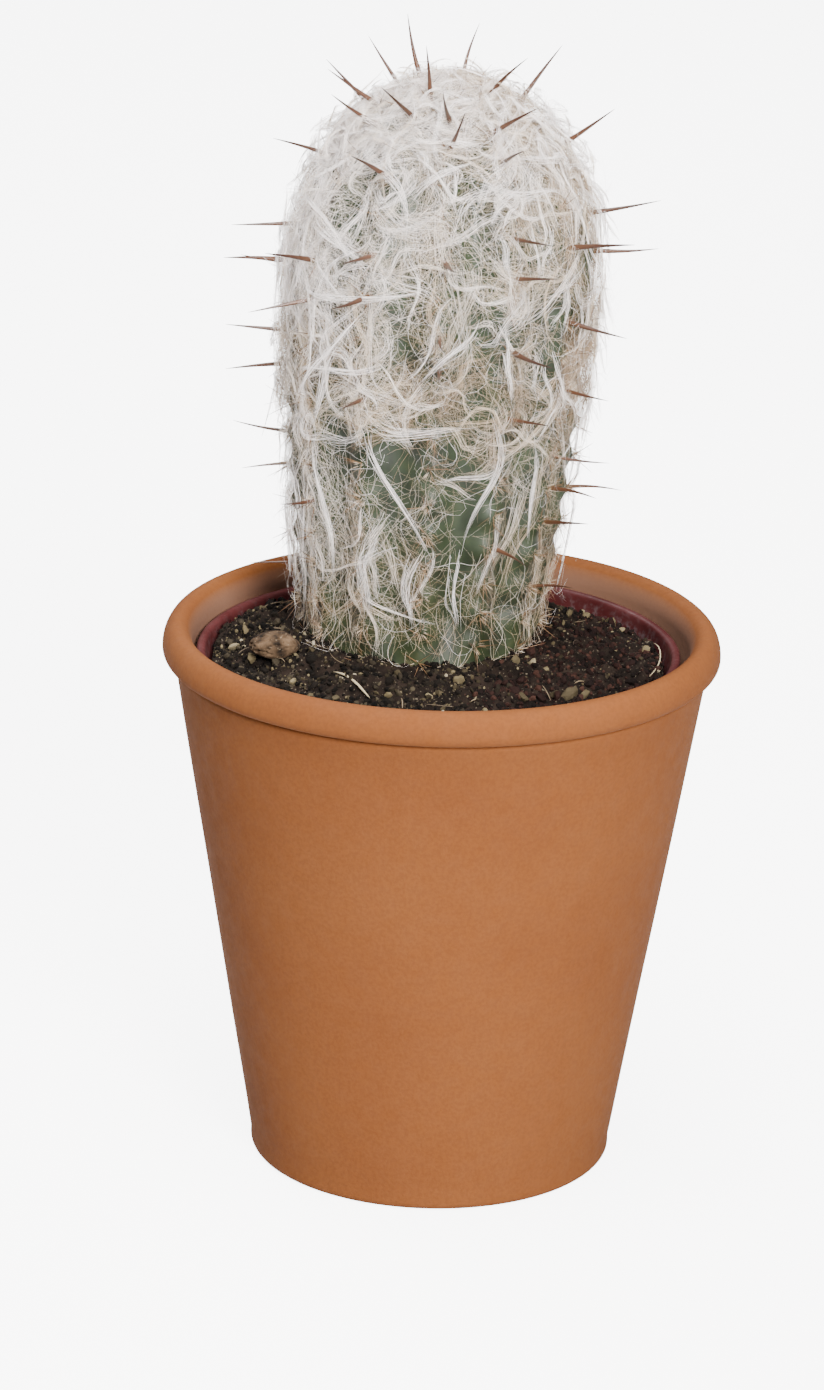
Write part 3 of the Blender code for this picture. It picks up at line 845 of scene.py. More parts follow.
def soil_level(x, y):
    """Soil height without its crumbs: a mound towards the stem, low at the wall, higher at the back left."""
    reach = np.hypot(x - SOIL_LINE_X, y - SOIL_LINE_Y)
    share = fade(reach, SOIL_REACH, SOIL_LINE_RADIUS - SOIL_REACH)
    mound = SOIL_MOUND * share * share * (3.0 - 2.0 * share)
    back = SOIL_BACK_RISE * (y - x) / 0.08
    lumps = SOIL_LUMPS * (np.sin(310.0 * x + 1.0) * np.cos(270.0 * y) + np.sin(140.0 * (x + y)))
    return SOIL_EDGE_Z + mound + back + lumps


def soil_surface(x, y):
    """Soil height with its crumbs: the level plus three sizes of smooth noise."""
    rng = np.random.default_rng(21)
    z0 = np.zeros_like(x)
    rough = waves(x, y, z0, rng, 10, 350.0, 900.0) * 0.00085
    rough += waves(x, y, z0, rng, 14, 1200.0, 2400.0) * 0.00042
    rough += waves(x, y, z0, rng, 14, 3000.0, 5600.0) * 0.00016
    return soil_level(x, y) + np.clip(rough, -0.0015, 0.0018)


def build_soil(colour):
    """Soil bed: its side comes up the wall, its top runs in to the stem, and a core goes down round it.

    The top's rings slide from the pot's centre and radius to the stem's, straight in between.
    """
    wall_r = SOIL_RADIUS - 0.0004
    turn = full_turn(SOIL_SEGMENTS)
    share = np.linspace(0.0, 1.0, SOIL_RINGS)[:, None]
    radius = wall_r + (SOIL_LINE_RADIUS - 0.002 - wall_r) * share
    x = radius * np.cos(turn) + SOIL_CENTRE_X + (SOIL_LINE_X - SOIL_CENTRE_X) * share
    y = radius * np.sin(turn) + SOIL_LINE_Y * share
    top = np.stack([x, y, soil_surface(x, y)], -1)
    floor_z = SOIL_LOW[2] + 0.0003
    side_share = np.linspace(0.0, 1.0, SOIL_SIDE_RINGS)[:-1, None]
    side_r = SOIL_FLOOR_RADIUS + (wall_r - SOIL_FLOOR_RADIUS) * side_share
    side_z = floor_z + (SOIL_EDGE_Z - 0.002 - floor_z) * side_share
    side = np.stack([side_r * np.cos(turn) + SOIL_CENTRE_X, side_r * np.sin(turn), side_z + 0 * turn], -1)
    core_r = SOIL_LINE_RADIUS - 0.006
    core_z = STEM_LOW[2] - 0.0006
    core = np.stack([core_r * np.cos(turn) + SOIL_LINE_X, core_r * np.sin(turn) + SOIL_LINE_Y,
                     np.full(SOIL_SEGMENTS, core_z)], -1)[None]
    verts, faces = capped(np.concatenate([side, top, core]), (SOIL_CENTRE_X, 0.0, floor_z),
                          (SOIL_LINE_X, SOIL_LINE_Y, core_z))
    return finish_piece(mesh_piece("soil_bed", verts, faces, peat_material(colour)), "peat", "soil")


def icosahedron():
    """The 12 points and 20 faces of a unit icosahedron."""
    g = (1.0 + math.sqrt(5.0)) / 2.0
    verts = np.array([(-1, g, 0), (1, g, 0), (-1, -g, 0), (1, -g, 0), (0, -1, g), (0, 1, g),
                      (0, -1, -g), (0, 1, -g), (g, 0, -1), (g, 0, 1), (-g, 0, -1), (-g, 0, 1)], float)
    faces = np.array([(0, 11, 5), (0, 5, 1), (0, 1, 7), (0, 7, 10), (0, 10, 11), (1, 5, 9), (5, 11, 4),
                      (11, 10, 2), (10, 7, 6), (7, 1, 8), (3, 9, 4), (3, 4, 2), (3, 2, 6), (3, 6, 8),
                      (3, 8, 9), (4, 9, 5), (2, 4, 11), (6, 2, 10), (8, 6, 7), (9, 8, 1)])
    return verts / np.linalg.norm(verts, axis=1, keepdims=True), faces


def split_sphere(verts, faces):
    """Each triangle becomes four, and the new points are pushed out to the unit sphere."""
    edges = np.sort(np.concatenate([faces[:, [0, 1]], faces[:, [1, 2]], faces[:, [2, 0]]]), 1)
    unique, index = np.unique(edges, axis=0, return_inverse=True)
    index = index.reshape(-1)
    middle = verts[unique].mean(1)
    middle /= np.linalg.norm(middle, axis=1, keepdims=True)
    n = len(faces)
    ab, bc, ca = (index[:n] + len(verts), index[n:2 * n] + len(verts), index[2 * n:] + len(verts))
    a, b, c = faces.T
    new = np.concatenate([np.stack(t, -1) for t in ((a, ab, ca), (b, bc, ab), (c, ca, bc), (ab, bc, ca))])
    return np.concatenate([verts, middle]), new


def random_turns(rng, count):
    """Random rotation matrices from unit quaternions."""
    q = rng.normal(size=(count, 4))
    q /= np.linalg.norm(q, axis=1, keepdims=True)
    w, x, y, z = q.T
    return np.stack([
        np.stack([1 - 2 * (y * y + z * z), 2 * (x * y - z * w), 2 * (x * z + y * w)], -1),
        np.stack([2 * (x * y + z * w), 1 - 2 * (x * x + z * z), 2 * (y * z - x * w)], -1),
        np.stack([2 * (x * z - y * w), 2 * (y * z + x * w), 1 - 2 * (x * x + y * y)], -1)], 1)


def grains(name, centres, size, tint, material, rng, fine, flatness, roughness):
    """Many small stones: a ball stretched along three axes, each point pushed in or out, then turned."""
    verts, faces = icosahedron()
    if fine:
        verts, faces = split_sphere(verts, faces)
    count = len(centres)
    scale = np.stack([rng.uniform(0.75, 1.35, count), rng.uniform(0.6, 1.0, count),
                      rng.uniform(flatness, flatness + 0.35, count)], -1)
    push = 1.0 + rng.uniform(-roughness, roughness, (count, len(verts), 1))
    shape = verts[None] * push * scale[:, None, :] * size[:, None, None]
    shape = np.einsum("nij,nvj->nvi", random_turns(rng, count), shape)
    points = centres[:, None, :] + shape
    all_faces = faces[None] + (np.arange(count) * len(verts))[:, None, None]
    # V of the map: each point's height from the grain's underside to its top, which the material turns into
    # painted shade underneath
    shade_height = (shape[..., 2] / np.abs(shape[..., 2]).max(1, keepdims=True)) * 0.5 + 0.5
    u = (tint_column(tint) + np.array([0.2, 0.8, 0.5]) + 0.0 * all_faces) / TINT_COLUMNS
    v = shade_height[:, faces] * 0.96 + 0.02 + np.array([0.0, 0.0, 0.01])
    uv = np.stack([u, v], -1).reshape(-1, 2)
    return mesh_piece(name, points, all_faces.reshape(-1, 3), material, uv, smooth=False)


def soil_spots(rng, count, clear_wall, clear_stem):
    """Random places on the soil, kept off the pot wall and the stem."""
    wall_r = SOIL_RADIUS - clear_wall
    tries = rng.uniform(-wall_r, wall_r, (count * 5, 2))
    inside = np.hypot(tries[:, 0], tries[:, 1]) < wall_r
    x, y = tries[inside, 0] + SOIL_CENTRE_X, tries[inside, 1]
    off_stem = np.hypot(x - SOIL_LINE_X, y - SOIL_LINE_Y) > SOIL_LINE_RADIUS + clear_stem
    return x[off_stem][:count], y[off_stem][:count]


# The lower half of the peat colours is grey and the upper half is reddish.
PEAT_STOPS = (
    (0.0, (0.0016, 0.0012, 0.0009)), (0.25, (0.005, 0.0036, 0.0025)), (0.42, (0.018, 0.014, 0.009)),
    (0.50, (0.040, 0.032, 0.020)), (0.52, (0.0024, 0.0012, 0.0009)), (0.80, (0.011, 0.0042, 0.0032)),
    (1.0, (0.030, 0.013, 0.009)),
)
GRIT_STOPS = (
    (0.0, (0.012, 0.009, 0.005)), (0.45, (0.040, 0.031, 0.017)), (0.75, (0.090, 0.071, 0.038)),
    (0.92, (0.135, 0.110, 0.062)), (1.0, (0.23, 0.20, 0.145)),
)
BIG_CRUMBS = 90


def right_share(x, y):
    """1 on the fine reddish soil to the right of the stem, 0 on the gritty soil at the left and front."""
    return fade(x - 0.4 * y, 0.016, 0.010)


def build_soil_crumbs():
    """Peat crumbs of all sizes, greyish at the left and reddish brown at the right."""
    rng = np.random.default_rng(31)
    mat = grain_colour_material("peat_crumbs", PEAT_STOPS, 0.95, 1800.0)
    x, y = soil_spots(rng, 5600, 0.0004, -0.0010)
    size = 0.00028 + 0.00080 * rng.random(len(x)) ** 3.0
    size[:BIG_CRUMBS] = rng.uniform(0.0010, 0.0017, BIG_CRUMBS)
    centres = np.stack([x, y, soil_surface(x, y) + size * rng.uniform(-0.3, 0.4, len(x))], -1)
    red = rng.random(len(x)) < right_share(x, y)
    tint = 0.5 * rng.random(len(x)) ** 1.4 + np.where(red, 0.52, 0.0)
    obj = grains("soil_crumbs", centres, size, tint, mat, rng, False, 0.5, 0.22)
    return finish_piece(obj, "peat")


def build_soil_grit():
    """Small grey and tan grit, mostly at the left and the front."""
    rng = np.random.default_rng(37)
    mat = grain_colour_material("soil_grit", GRIT_STOPS, 0.9, 1500.0)
    x, y = soil_spots(rng, 3600, 0.0006, 0.0002)
    patch = waves(x, y, 0.0 * x, rng, 6, 200.0, 500.0)
    keep = rng.random(len(x)) < (0.62 + 0.30 * patch) * (1.0 - 0.82 * right_share(x, y))
    x, y = x[keep], y[keep]
    size = 0.00024 + 0.00060 * rng.random(len(x)) ** 2.2
    centres = np.stack([x, y, soil_surface(x, y) + size * rng.uniform(-0.2, 0.3, len(x))], -1)
    obj = grains("soil_grit", centres, size, rng.random(len(x)) ** 2.0, mat, rng, False, 0.45, 0.20)
    return finish_piece(obj, "peat")


# Stones that lie on the soil: x and y in millimetres, half width in millimetres, tint from dark to pale.
STONES = (
    (21, -12.5, 1.3, 0.93), (24, -14.5, 1.3, 0.80), (17, -13.5, 1.7, 0.55), (40, 29, 2.2, 0.62),
    (37, 27, 1.6, 0.5), (34, 28, 1.9, 0.70), (30, 27, 1.6, 0.6), (43, 25, 1.3, 0.85),
    (29.5, -23, 2.2, 0.45), (33, -21, 1.4, 0.6), (26, -24, 1.2, 0.3), (-48.5, 1.5, 1.4, 0.93),
    (-44, -8, 1.7, 0.62), (-34, -22.5, 1.5, 0.85), (4, -26, 1.9, 0.66), (0, -31, 1.3, 0.45),
    (-42.5, 22, 1.5, 0.6), (-46, 8, 1.1, 0.7), (19, -27, 1.3, 0.4), (-12, -32, 1.2, 0.7),
    (-24, -31, 1.4, 0.5), (-30, -12, 1.2, 0.35), (-10, -24, 1.3, 0.3), (48, 12, 1.2, 0.75),
    (38, -8, 1.2, 0.15), (-20, 42, 1.6, 0.6), (5, 45, 1.4, 0.8), (22, 40, 1.8, 0.5),
    (-34, 34, 1.3, 0.9), (10, -36, 1.1, 0.85),
)
STONE_SCALE = 0.88  # the half widths of the list are taken this much smaller


def build_stones():
    """Bigger stones and chips of bark, each a fine dented ball partly sunk in the soil."""
    rng = np.random.default_rng(39)
    mat = grain_colour_material("soil_stones", GRIT_STOPS, 0.88, 1300.0)
    rows = np.array(STONES)
    x, y, size = (rows[:, k] * 0.001 for k in range(3))
    size = size * STONE_SCALE
    centres = np.stack([x, y, soil_level(x, y) + size * 0.30], -1)
    return finish_piece(grains("soil_stones", centres, size, rows[:, 3], mat, rng, True, 0.35, 0.20), "peat")


def build_pumice():
    """The porous lump: a fine ball with slow knobs and fine pits from noise, laid in the CAD lump's box."""
    verts, faces = icosahedron()
    for _ in range(4):
        verts, faces = split_sphere(verts, faces)
    rng = np.random.default_rng(41)
    centre = 0.5 * (LUMP_LOW + LUMP_HIGH)
    half = 0.5 * (LUMP_HIGH - LUMP_LOW)
    knobs = waves(*verts.T, rng, 10, 2.0, 5.0)
    pits = np.clip(waves(*verts.T, rng, 24, 12.0, 26.0) - 0.35, 0.0, 1.5)
    scale = (1.0 + 0.09 * knobs - 0.14 * pits)[:, None]
    tilt = Matrix.Rotation(math.radians(14.0), 3, "Z")
    points = verts * scale * half * (1.05, 1.0, 1.0)
    points = points @ np.array(tilt).T + centre - np.array([0.0, 0.0, 0.0008])
    obj = mesh_piece("porous_lump", points, faces, pumice_material())
    return finish_piece(obj, "pumice", "pumice_lump")


def build_debris():
    """Straw, bark threads and twiglets on the soil; the first two are given one by one.

    Each one's heading turns evenly and its steps are summed up. It is highest in the middle.
    """
    rng = np.random.default_rng(43)
    mat, tree, shader = new_material("dry_fibre", 0.8)
    paint(tree, shader, ramp(tree, uv_part(tree, "X"), (
        (0.0, (0.03, 0.018, 0.010)), (0.5, (0.15, 0.11, 0.06)), (1.0, (0.40, 0.34, 0.21)))))
    x, y = soil_spots(rng, 22, 0.006, 0.004)
    count, points = len(x), 10
    length = rng.uniform(0.003, 0.009, count)
    heading = rng.uniform(0, 2 * math.pi, count)
    bend = rng.normal(0, 0.9, count)
    tint = rng.random(count) * 0.4
    radius = rng.uniform(0.00006, 0.00018, count)
    x[:2], y[:2] = (-0.0258, 0.0490), (-0.0211, 0.0175)
    length[:2], heading[:2], bend[:2] = (0.0150, 0.0250), (-0.88, -1.60), (-0.10, -0.75)
    tint[:2], radius[:2] = (0.80, 0.98), (0.00033, 0.00016)
    t = np.linspace(-0.5, 0.5, points)[None, :]
    turn = heading[:, None] + bend[:, None] * t
    px = x[:, None] + np.cumsum(np.cos(turn), 1) * (length / points)[:, None]
    py = y[:, None] + np.cumsum(np.sin(turn), 1) * (length / points)[:, None]
    lift = rng.uniform(0.0002, 0.0010, (count, 1)) * (1.0 - 3.0 * t * t)
    paths = np.stack([px, py, soil_level(px, py) + 0.0008 + lift], -1)
    thick = radius[:, None] * (1.0 - 0.9 * np.abs(2 * t) ** 4)
    return finish_piece(tubes("dry_fibres", paths, thick, tint, mat, sides=5), "peat")


# =====================================================================
# Stem and spines
# =====================================================================
COLUMNS_PER_RIB = 16
STEM_ROWS = 160
APEX_DIP = 0.0016
CONE_FOOT_RADIUS = 0.0190
FOOT_RADIUS = 0.0165
END_RING = 0.0004
SPINE_ROOT_DEPTH = 0.0022
USUAL_SPINE = 0.0145


def build_stem(colour):
    """Ribbed skin: rings along the crest line, each point dropped into its valley or notch.

    A plain cone of rings carries it down to its foot under the soil, and the apex is dipped in.
    """
    columns = RIB_COUNT * COLUMNS_PER_RIB
    distance = np.linspace(-0.0002, RIB_END - 0.0006, STEM_ROWS)
    angle = full_turn(columns) + FRONT_RIB_ANGLE
    d, a = np.meshgrid(distance, angle, indexing="ij")
    rng = np.random.default_rng(3)
    points, normal = on_stem(a, d, -skin_drop(a, d))
    swell = waves(points[..., 0], points[..., 1], points[..., 2], rng, 10, 120.0, 420.0) * 0.00022
    dip = APEX_DIP * np.exp(-((RIB_END - d) / 0.006) ** 2)
    points = points + normal * (swell - dip)[..., None]
    share = np.linspace(0.0, 1.0, 10)[:-1][:, None]
    cone_r = CONE_FOOT_RADIUS + (SOIL_LINE_RADIUS - CONE_FOOT_RADIUS) * share
    cone_z = STEM_LOW[2] + 0.0010 + (SOIL_LINE_Z - 0.0010 - STEM_LOW[2]) * share
    radii = np.concatenate([np.full((1, 1), FOOT_RADIUS), cone_r])
    heights = np.concatenate([np.full((1, 1), STEM_LOW[2]), cone_z])
    below = np.stack([radii * np.cos(angle) + SOIL_LINE_X, radii * np.sin(angle) + SOIL_LINE_Y,
                      heights + 0 * angle], -1)
    apex = on_stem(np.zeros(1), np.array([RIB_END]), np.array([-APEX_DIP]))[0][0]
    verts, faces = capped(np.concatenate([below, points]), (SOIL_LINE_X, SOIL_LINE_Y, STEM_LOW[2]), apex)
    obj = mesh_piece("ribbed_stem", verts, faces, skin_material(colour))
    return finish_piece(obj, "green_skin", "cactus_stem")


def spine_ends():
    """Names, feet and tips of the long spines, from their CAD nodes: the wider end ring is the foot."""
    names = sorted(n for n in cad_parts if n.startswith("spine_"))
    feet, tips = [], []
    for name in names:
        points = node_points(name)
        middle = points.mean(0)
        _, _, axes = np.linalg.svd(points - middle, full_matrices=False)
        share = (points - middle) @ axes[0]
        ends = [points[share < share.min() + END_RING], points[share > share.max() - END_RING]]
        ends.sort(key=lambda ring: np.ptp(ring - ring.mean(0)))
        tips.append(ends[0].mean(0))
        feet.append(ends[1].mean(0))
    return names, np.array(feet), np.array(tips)


def build_long_spines(base_radius):
    """Needles from just inside the skin to the CAD tips, bowed a little and thinning nearly evenly.

    The bow is half a sine wave. A short spine is thinner, down to three quarters of a usual one.
    """
    names, feet, tips = spine_ends()
    count, points = len(feet), 14
    rng = np.random.default_rng(51)
    along = tips - feet
    length = np.linalg.norm(along, axis=1)
    root = feet - along / length[:, None] * SPINE_ROOT_DEPTH
    t = shares(points)
    side = np.cross(along, rng.normal(size=(count, 3)))
    side /= np.linalg.norm(side, axis=1, keepdims=True)
    bow = rng.uniform(-0.0007, 0.0007, count)
    path = root[:, None] + (tips - root)[:, None] * t[..., None]
    path += side[:, None] * (bow[:, None] * np.sin(math.pi * t))[..., None]
    thick = base_radius * rng.uniform(0.8, 1.1, count) * np.clip(length / USUAL_SPINE, 0.75, 1.1)
    radius = thick[:, None] * (0.05 + 0.95 * (1.0 - t) ** 0.92)
    radius[:, 0] *= 0.8
    obj = tubes("long_spines", path, radius, rng.random(count), spine_material(), sides=12)
    return finish_piece(obj, "brown_spine", *names)


def build_radial_spines():
    """Short thin bristles: six round every areole, each leaning away from the normal in its own direction."""
    rng = np.random.default_rng(53)
    rib, distance = areole_spots(6)
    count = len(rib)
    angle = FRONT_RIB_ANGLE + rib * RIB_STEP + rng.normal(0, 0.012, count)
    distance = distance + rng.normal(0, 0.0006, count)
    base, normal = on_stem(angle, distance, -skin_drop(angle, distance) - 0.0004)
    heading = rng.uniform(0, 2 * math.pi, count)
    splay = rng.uniform(0.5, 1.25, count)
    east = np.stack([-np.sin(angle), np.cos(angle), np.zeros(count)], -1)
    north = np.cross(normal, east)
    flat = east * np.cos(heading)[:, None] + north * np.sin(heading)[:, None]
    direction = normal * np.cos(splay)[:, None] + flat * np.sin(splay)[:, None]
    length = rng.uniform(0.003, 0.0075, count)
    t = shares(5)
    path = base[:, None] + direction[:, None] * length[:, None, None] * t[..., None]
    radius = (0.00014 * rng.uniform(0.7, 1.3, count))[:, None] * (1.0 - 0.85 * t)
    obj = tubes("radial_spines", path, radius, rng.random(count), radial_material(), sides=4)
    return finish_piece(obj, "brown_spine")


def radial_material():
    """Yellow-brown bristle, paler at the foot."""
    mat, tree, shader = new_material("yellow_bristle", 0.45)
    length = ramp(tree, uv_part(tree, "Y"), (
        (0.0, (0.17, 0.11, 0.05)), (0.5, (0.13, 0.066, 0.028)), (1.0, (0.075, 0.034, 0.016))))
    tint = ramp(tree, uv_part(tree, "X"), ((0.0, 0.7), (1.0, 1.4)))
    paint(tree, shader, mix(tree, 1.0, length, tint, "MULTIPLY"))
    return mat


# =====================================================================
# Wool
# =====================================================================
LEFT_SIDE = math.radians(-165.0)
KEPT_SHARE = 0.62  # of the clumps and wisps that are tried
HAZE_LOW = 0.054  # below these distances along the rib the hair hangs down
WISPS_LOW = 0.052
HAZE_HAIRS, HAZE_POINTS = 9, 6
WISP_HAIRS, WISP_POINTS = 12, 8
SEEDED_LOCKS, LOCK_POINTS = 74, 11
HANGING_HAIRS = 360
FLYAWAY_HAIRS = 1300


def upper_share(distance):
    """0 low on the plant, 1 from the middle up, where the wool is thick."""
    return fade(distance, 0.055, 0.009)


def hair_tint(rng, angle, distance, centre, spread):
    """Tint: the given mean, strawy half way up, dirtier low down, and whiter at the left side, where the
    whiteness is painted light.
    """
    band = np.exp(-((distance - 0.067) / 0.012) ** 2) * 0.36
    low = fade(distance, 0.050, -0.035) * 0.32
    # painted light: hair towards the left side is tinted whiter
    side = 0.25 * np.cos(angle - LEFT_SIDE)
    return np.clip(centre + side - band - low + rng.normal(0.0, spread, len(distance)), 0.02, 0.98)


def root_spots(rng, count, rib_spread, low_share):
    """Hair roots: a random place along a random rib, scattered across it.

    They are thinned out low on the plant, less so at the left side, and near the apex.
    """
    tries = count * 5
    distance = rng.uniform(-0.001, RIB_END - 0.001, tries)
    rib = rng.integers(0, RIB_COUNT, tries)
    angle = FRONT_RIB_ANGLE + (rib + rng.normal(0.0, rib_spread, tries)) * RIB_STEP
    left = 0.88 + 0.45 * np.clip(np.cos(angle - LEFT_SIDE), 0.0, 1.0) ** 2
    low = low_share * np.clip(0.10 + distance / 0.042, 0.10, 1.0) * left
    crown = 0.8 + 0.2 * fade(distance, 0.095, 0.020)
    keep = rng.random(tries) < (low + (1.0 - low) * upper_share(distance)) * crown
    keep &= rng.random(tries) < np.clip(np.abs(crest(distance)[0]) / SHOULDER_RADIUS, 0.10, 1.0)
    return angle[keep][:count], distance[keep][:count]


# Where the wool parts at the front: rib, millimetres along it, half width in millimetres.
PARTINGS = (
    (-1.5, 106, 5.0), (-0.6, 115, 2.5), (0.3, 114, 3.5), (0.5, 105, 4.0), (-0.4, 102, 2.5), (0.4, 97, 3.0),
    (-1.4, 96, 2.5), (0.65, 90, 3.0), (-0.5, 87, 4.0), (-1.25, 82, 4.0), (-0.5, 78, 4.0), (0.45, 83, 2.5),
    (1.4, 85, 3.0), (1.4, 72, 3.0), (0.1, 121, 2.0), (-1.3, 64, 2.5), (-0.6, 54, 4.0), (0.5, 53, 4.0),
    (1.4, 53, 2.5), (-1.4, 50, 3.5), (-0.8, 42, 3.0), (-1.3, 37, 3.5), (0.50, 41, 2.5), (1.3, 30, 3.0),
    (-0.65, 24, 3.0), (-0.6, 14, 3.5), (0.35, 16, 3.0), (1.3, 14, 5.0), (-2.0, 21, 4.0), (1.5, 7, 4.0),
    (2.2, 24, 4.0), (2.4, 12, 4.0), (-2.3, 10, 4.0), (-0.7, 127, 2.0), (0.9, 126, 2.5), (2.0, 112, 3.0),
)


def wool_thickness(angle, distance):
    """How thick the wool lies, about -2 to 1: smooth noise, more at the crown and both sides.

    It is less in the valleys, and each parting takes away a bell of one over e at its half width.
    """
    x, y, z = np.moveaxis(on_stem(angle, distance, np.zeros_like(distance))[0], -1, 0)
    total = 0.8 * waves(x, y, z, np.random.default_rng(83), 14, 180.0, 750.0)
    total -= 0.30 * valley_share(angle) * (1.0 - 0.6 * upper_share(distance))
    sides = 0.22 * np.cos(angle) ** 2 + 0.27 * np.cos(angle - LEFT_SIDE)
    total += sides + 0.30 * fade(distance, 0.116, 0.010)
    rib = (angle - FRONT_RIB_ANGLE) / RIB_STEP
    radius = girth(distance)
    for place, height, reach in PARTINGS:
        across = (np.mod(rib - place + 0.5 * RIB_COUNT, RIB_COUNT) - 0.5 * RIB_COUNT) * RIB_STEP * radius
        away = (across ** 2 + (distance - height * 0.001) ** 2) / (reach * 0.001) ** 2
        total -= (1.25 + 0.35 * upper_share(distance)) * np.exp(-away)
    return total


def keep_thick(rng, angle, distance, share, chance):
    """Which strands stay: the share with the thickest wool along them, give or take some chance.

    A strand that runs into the soil scores up to 3 less.
    """
    score = wool_thickness(angle, distance).mean(1) + rng.normal(0.0, chance, len(angle))
    score -= 3.0 * (distance < 0.001).mean(1)
    return score >= np.quantile(score, 1.0 - share)


def build_haze(index, clumps, mat):
    """Fine hairs in combed clumps: a clump's hairs share a heading, a curl and a tint, a bit changed. Their
    low tint is partly the beige of the undercoat and partly painted shade inside the wool.
    """
    rng = np.random.default_rng(100 + index)
    angle, distance = root_spots(rng, int(clumps / KEPT_SHARE), 0.36, 0.62)
    m = len(angle)
    low = distance < HAZE_LOW
    heading = np.where(low, rng.normal(math.pi, 0.75, m), rng.uniform(0, 2 * math.pi, m))
    curl = rng.normal(0, 2.3, m) * np.where(low, 0.45, 1.0)
    length = rng.uniform(0.009, 0.022, m) * np.where(low, 1.2, 1.0)
    middle = wander(rng, angle, distance, heading, length, curl, np.full(m, 0.3), 5)
    kept = keep_thick(rng, *middle, KEPT_SHARE, 0.36)
    clump = [value[kept] for value in (angle, distance, heading, curl, length, low)]
    # partly painted shade: the haze's mean tint of 0.36 is kept low so that the undercoat reads as the shade
    # inside the wool, besides its own beige
    clump.append(hair_tint(rng, clump[0], clump[1], 0.36, 0.17))
    angle, distance, heading, curl, length, low, tint = (np.repeat(value, HAZE_HAIRS) for value in clump)
    n = len(angle)
    loose = np.where(low, 1.6, 1.0)
    angle = angle + rng.normal(0, 0.0013, n) * loose / girth(distance, 0.010)
    distance = distance + rng.normal(0, 0.0013, n) * loose
    heading = heading + rng.normal(0, 0.28, n) * loose
    curl = curl + rng.normal(0, 0.8, n) * loose
    length = length * rng.uniform(0.6, 1.1, n)
    a, d = wander(rng, angle, distance, heading, length, curl, rng.uniform(0.05, 0.7, n), HAZE_POINTS)
    d = np.clip(d, -0.002, 2 * RIB_END)
    t = shares(HAZE_POINTS)
    top = np.where(low, 0.0016, 0.0034) * rng.random(n) ** 1.2 + 0.0003
    height = over_skin(a, d) * (1.0 - 0.6 * t) + top[:, None] * np.sin(math.pi * (0.08 + 0.62 * t))
    radius = taper(rng.uniform(0.000019, 0.000038, n) * np.where(low, 0.78, 1.0), HAZE_POINTS, 0.4)
    tint = np.clip(tint + rng.normal(0, 0.05, n), 0.02, 0.98)
    return wool_piece(f"haze_{index}", (a, d, height), radius, tint, mat)


def resample(lines, local):
    """Values of each line of points at fractional places along it, by straight interpolation."""
    points = lines.shape[1]
    at = local * (points - 1)
    low = np.clip(np.floor(at).astype(int), 0, points - 2)
    part = at - low
    rows = np.arange(len(lines))[:, None]
    return lines[rows, low] * (1.0 - part) + lines[rows, low + 1] * part


def wisp_paths(rng, angle, distance, height, per, width):
    """Strands round guide lines: spread at the root, gathered towards the tip, each with its own waves.

    The offset from the guide is a normal draw times width * (1 - 0.75 t), plus a sine wave.
    """
    n = len(angle) * per
    start = rng.uniform(0.0, 0.30, (n, 1))
    local = start + (rng.uniform(0.72, 1.0, (n, 1)) - start) * shares(angle.shape[1])
    a, d, h = (resample(np.repeat(line, per, 0), local) for line in (angle, distance, height))
    wide = np.repeat(width, per)[:, None] * (1.0 - 0.75 * local)
    across, along, up = rng.normal(0.0, 1.0, (3, n, 1))
    across = across + rng.normal(0.0, 1.2, (n, 1)) * (local - 0.5)
    beat = rng.uniform(0.6, 1.9, (2, n, 1)) * local + rng.random((2, n, 1))
    wave = np.sin(2.0 * math.pi * beat) * rng.uniform(0.00005, 0.00038, (2, n, 1))
    a = a + (across * wide + wave[0]) / girth(np.clip(d, 0.0, RIB_END))
    d = d + along * wide + wave[1]
    h = h + up * wide * 0.5
    return a, d, np.maximum(h, over_skin(a, d) + 0.0001)


def wisp_guides(rng, angle, distance, loose_share):
    """Guide lines of wisps that wander over the coat, a share of them lifting off it into the air."""
    n = len(angle)
    low = distance < WISPS_LOW
    heading = np.where(low, rng.normal(math.pi, 0.45, n), rng.uniform(0, 2 * math.pi, n))
    length = np.where(low, rng.uniform(0.012, 0.028, n), rng.uniform(0.010, 0.028, n))
    curl = rng.normal(0, 1, n) * np.where(low, 0.8, 1.7)
    sway = rng.uniform(0.1, 0.8, n) * np.where(low, 0.7, 1.2)
    a, d = wander(rng, angle, distance, heading, length, curl, sway, WISP_POINTS)
    d = np.clip(d, 0.0005, 2 * RIB_END)
    t = shares(WISP_POINTS)
    depth = np.where(low, 0.0016, 0.0030) * rng.uniform(0.35, 1.0, n)
    loose = np.where(rng.random(n) < loose_share, rng.uniform(0.0010, 0.0036, n), 0.0)
    height = depth[:, None] * fade(t, 0.0, 0.25) + loose[:, None] * t ** 1.8
    height += over_skin(a, d) * (0.55 - 0.35 * t)
    return a, d, height


def build_wisps(index, count, mat):
    """Curved wisps of a dozen hairs, lying every way in the upper half and hanging in the lower half.

    The first piece stands for the CAD wool.
    """
    rng = np.random.default_rng(200 + index)
    angle, distance = root_spots(rng, int(count / KEPT_SHARE), 0.16, 0.26)
    guides = wisp_guides(rng, angle, distance, 0.14)
    kept = keep_thick(rng, guides[0], guides[1], KEPT_SHARE, 0.20)
    angle, distance = angle[kept], distance[kept]
    width = 0.00018 + 0.0016 * rng.random(len(distance)) ** 1.3
    path = wisp_paths(rng, *(line[kept] for line in guides), WISP_HAIRS, width)
    n = len(path[0])
    radius = taper(rng.uniform(0.000022, 0.000044, n), WISP_POINTS, 0.3)
    tint = np.repeat(hair_tint(rng, angle, distance, 0.66, 0.22), WISP_HAIRS) + rng.normal(0, 0.04, n)
    return wool_piece(f"wisps_{index}", path, radius, tint, mat, *(("wool_coat",) if index == 1 else ()))
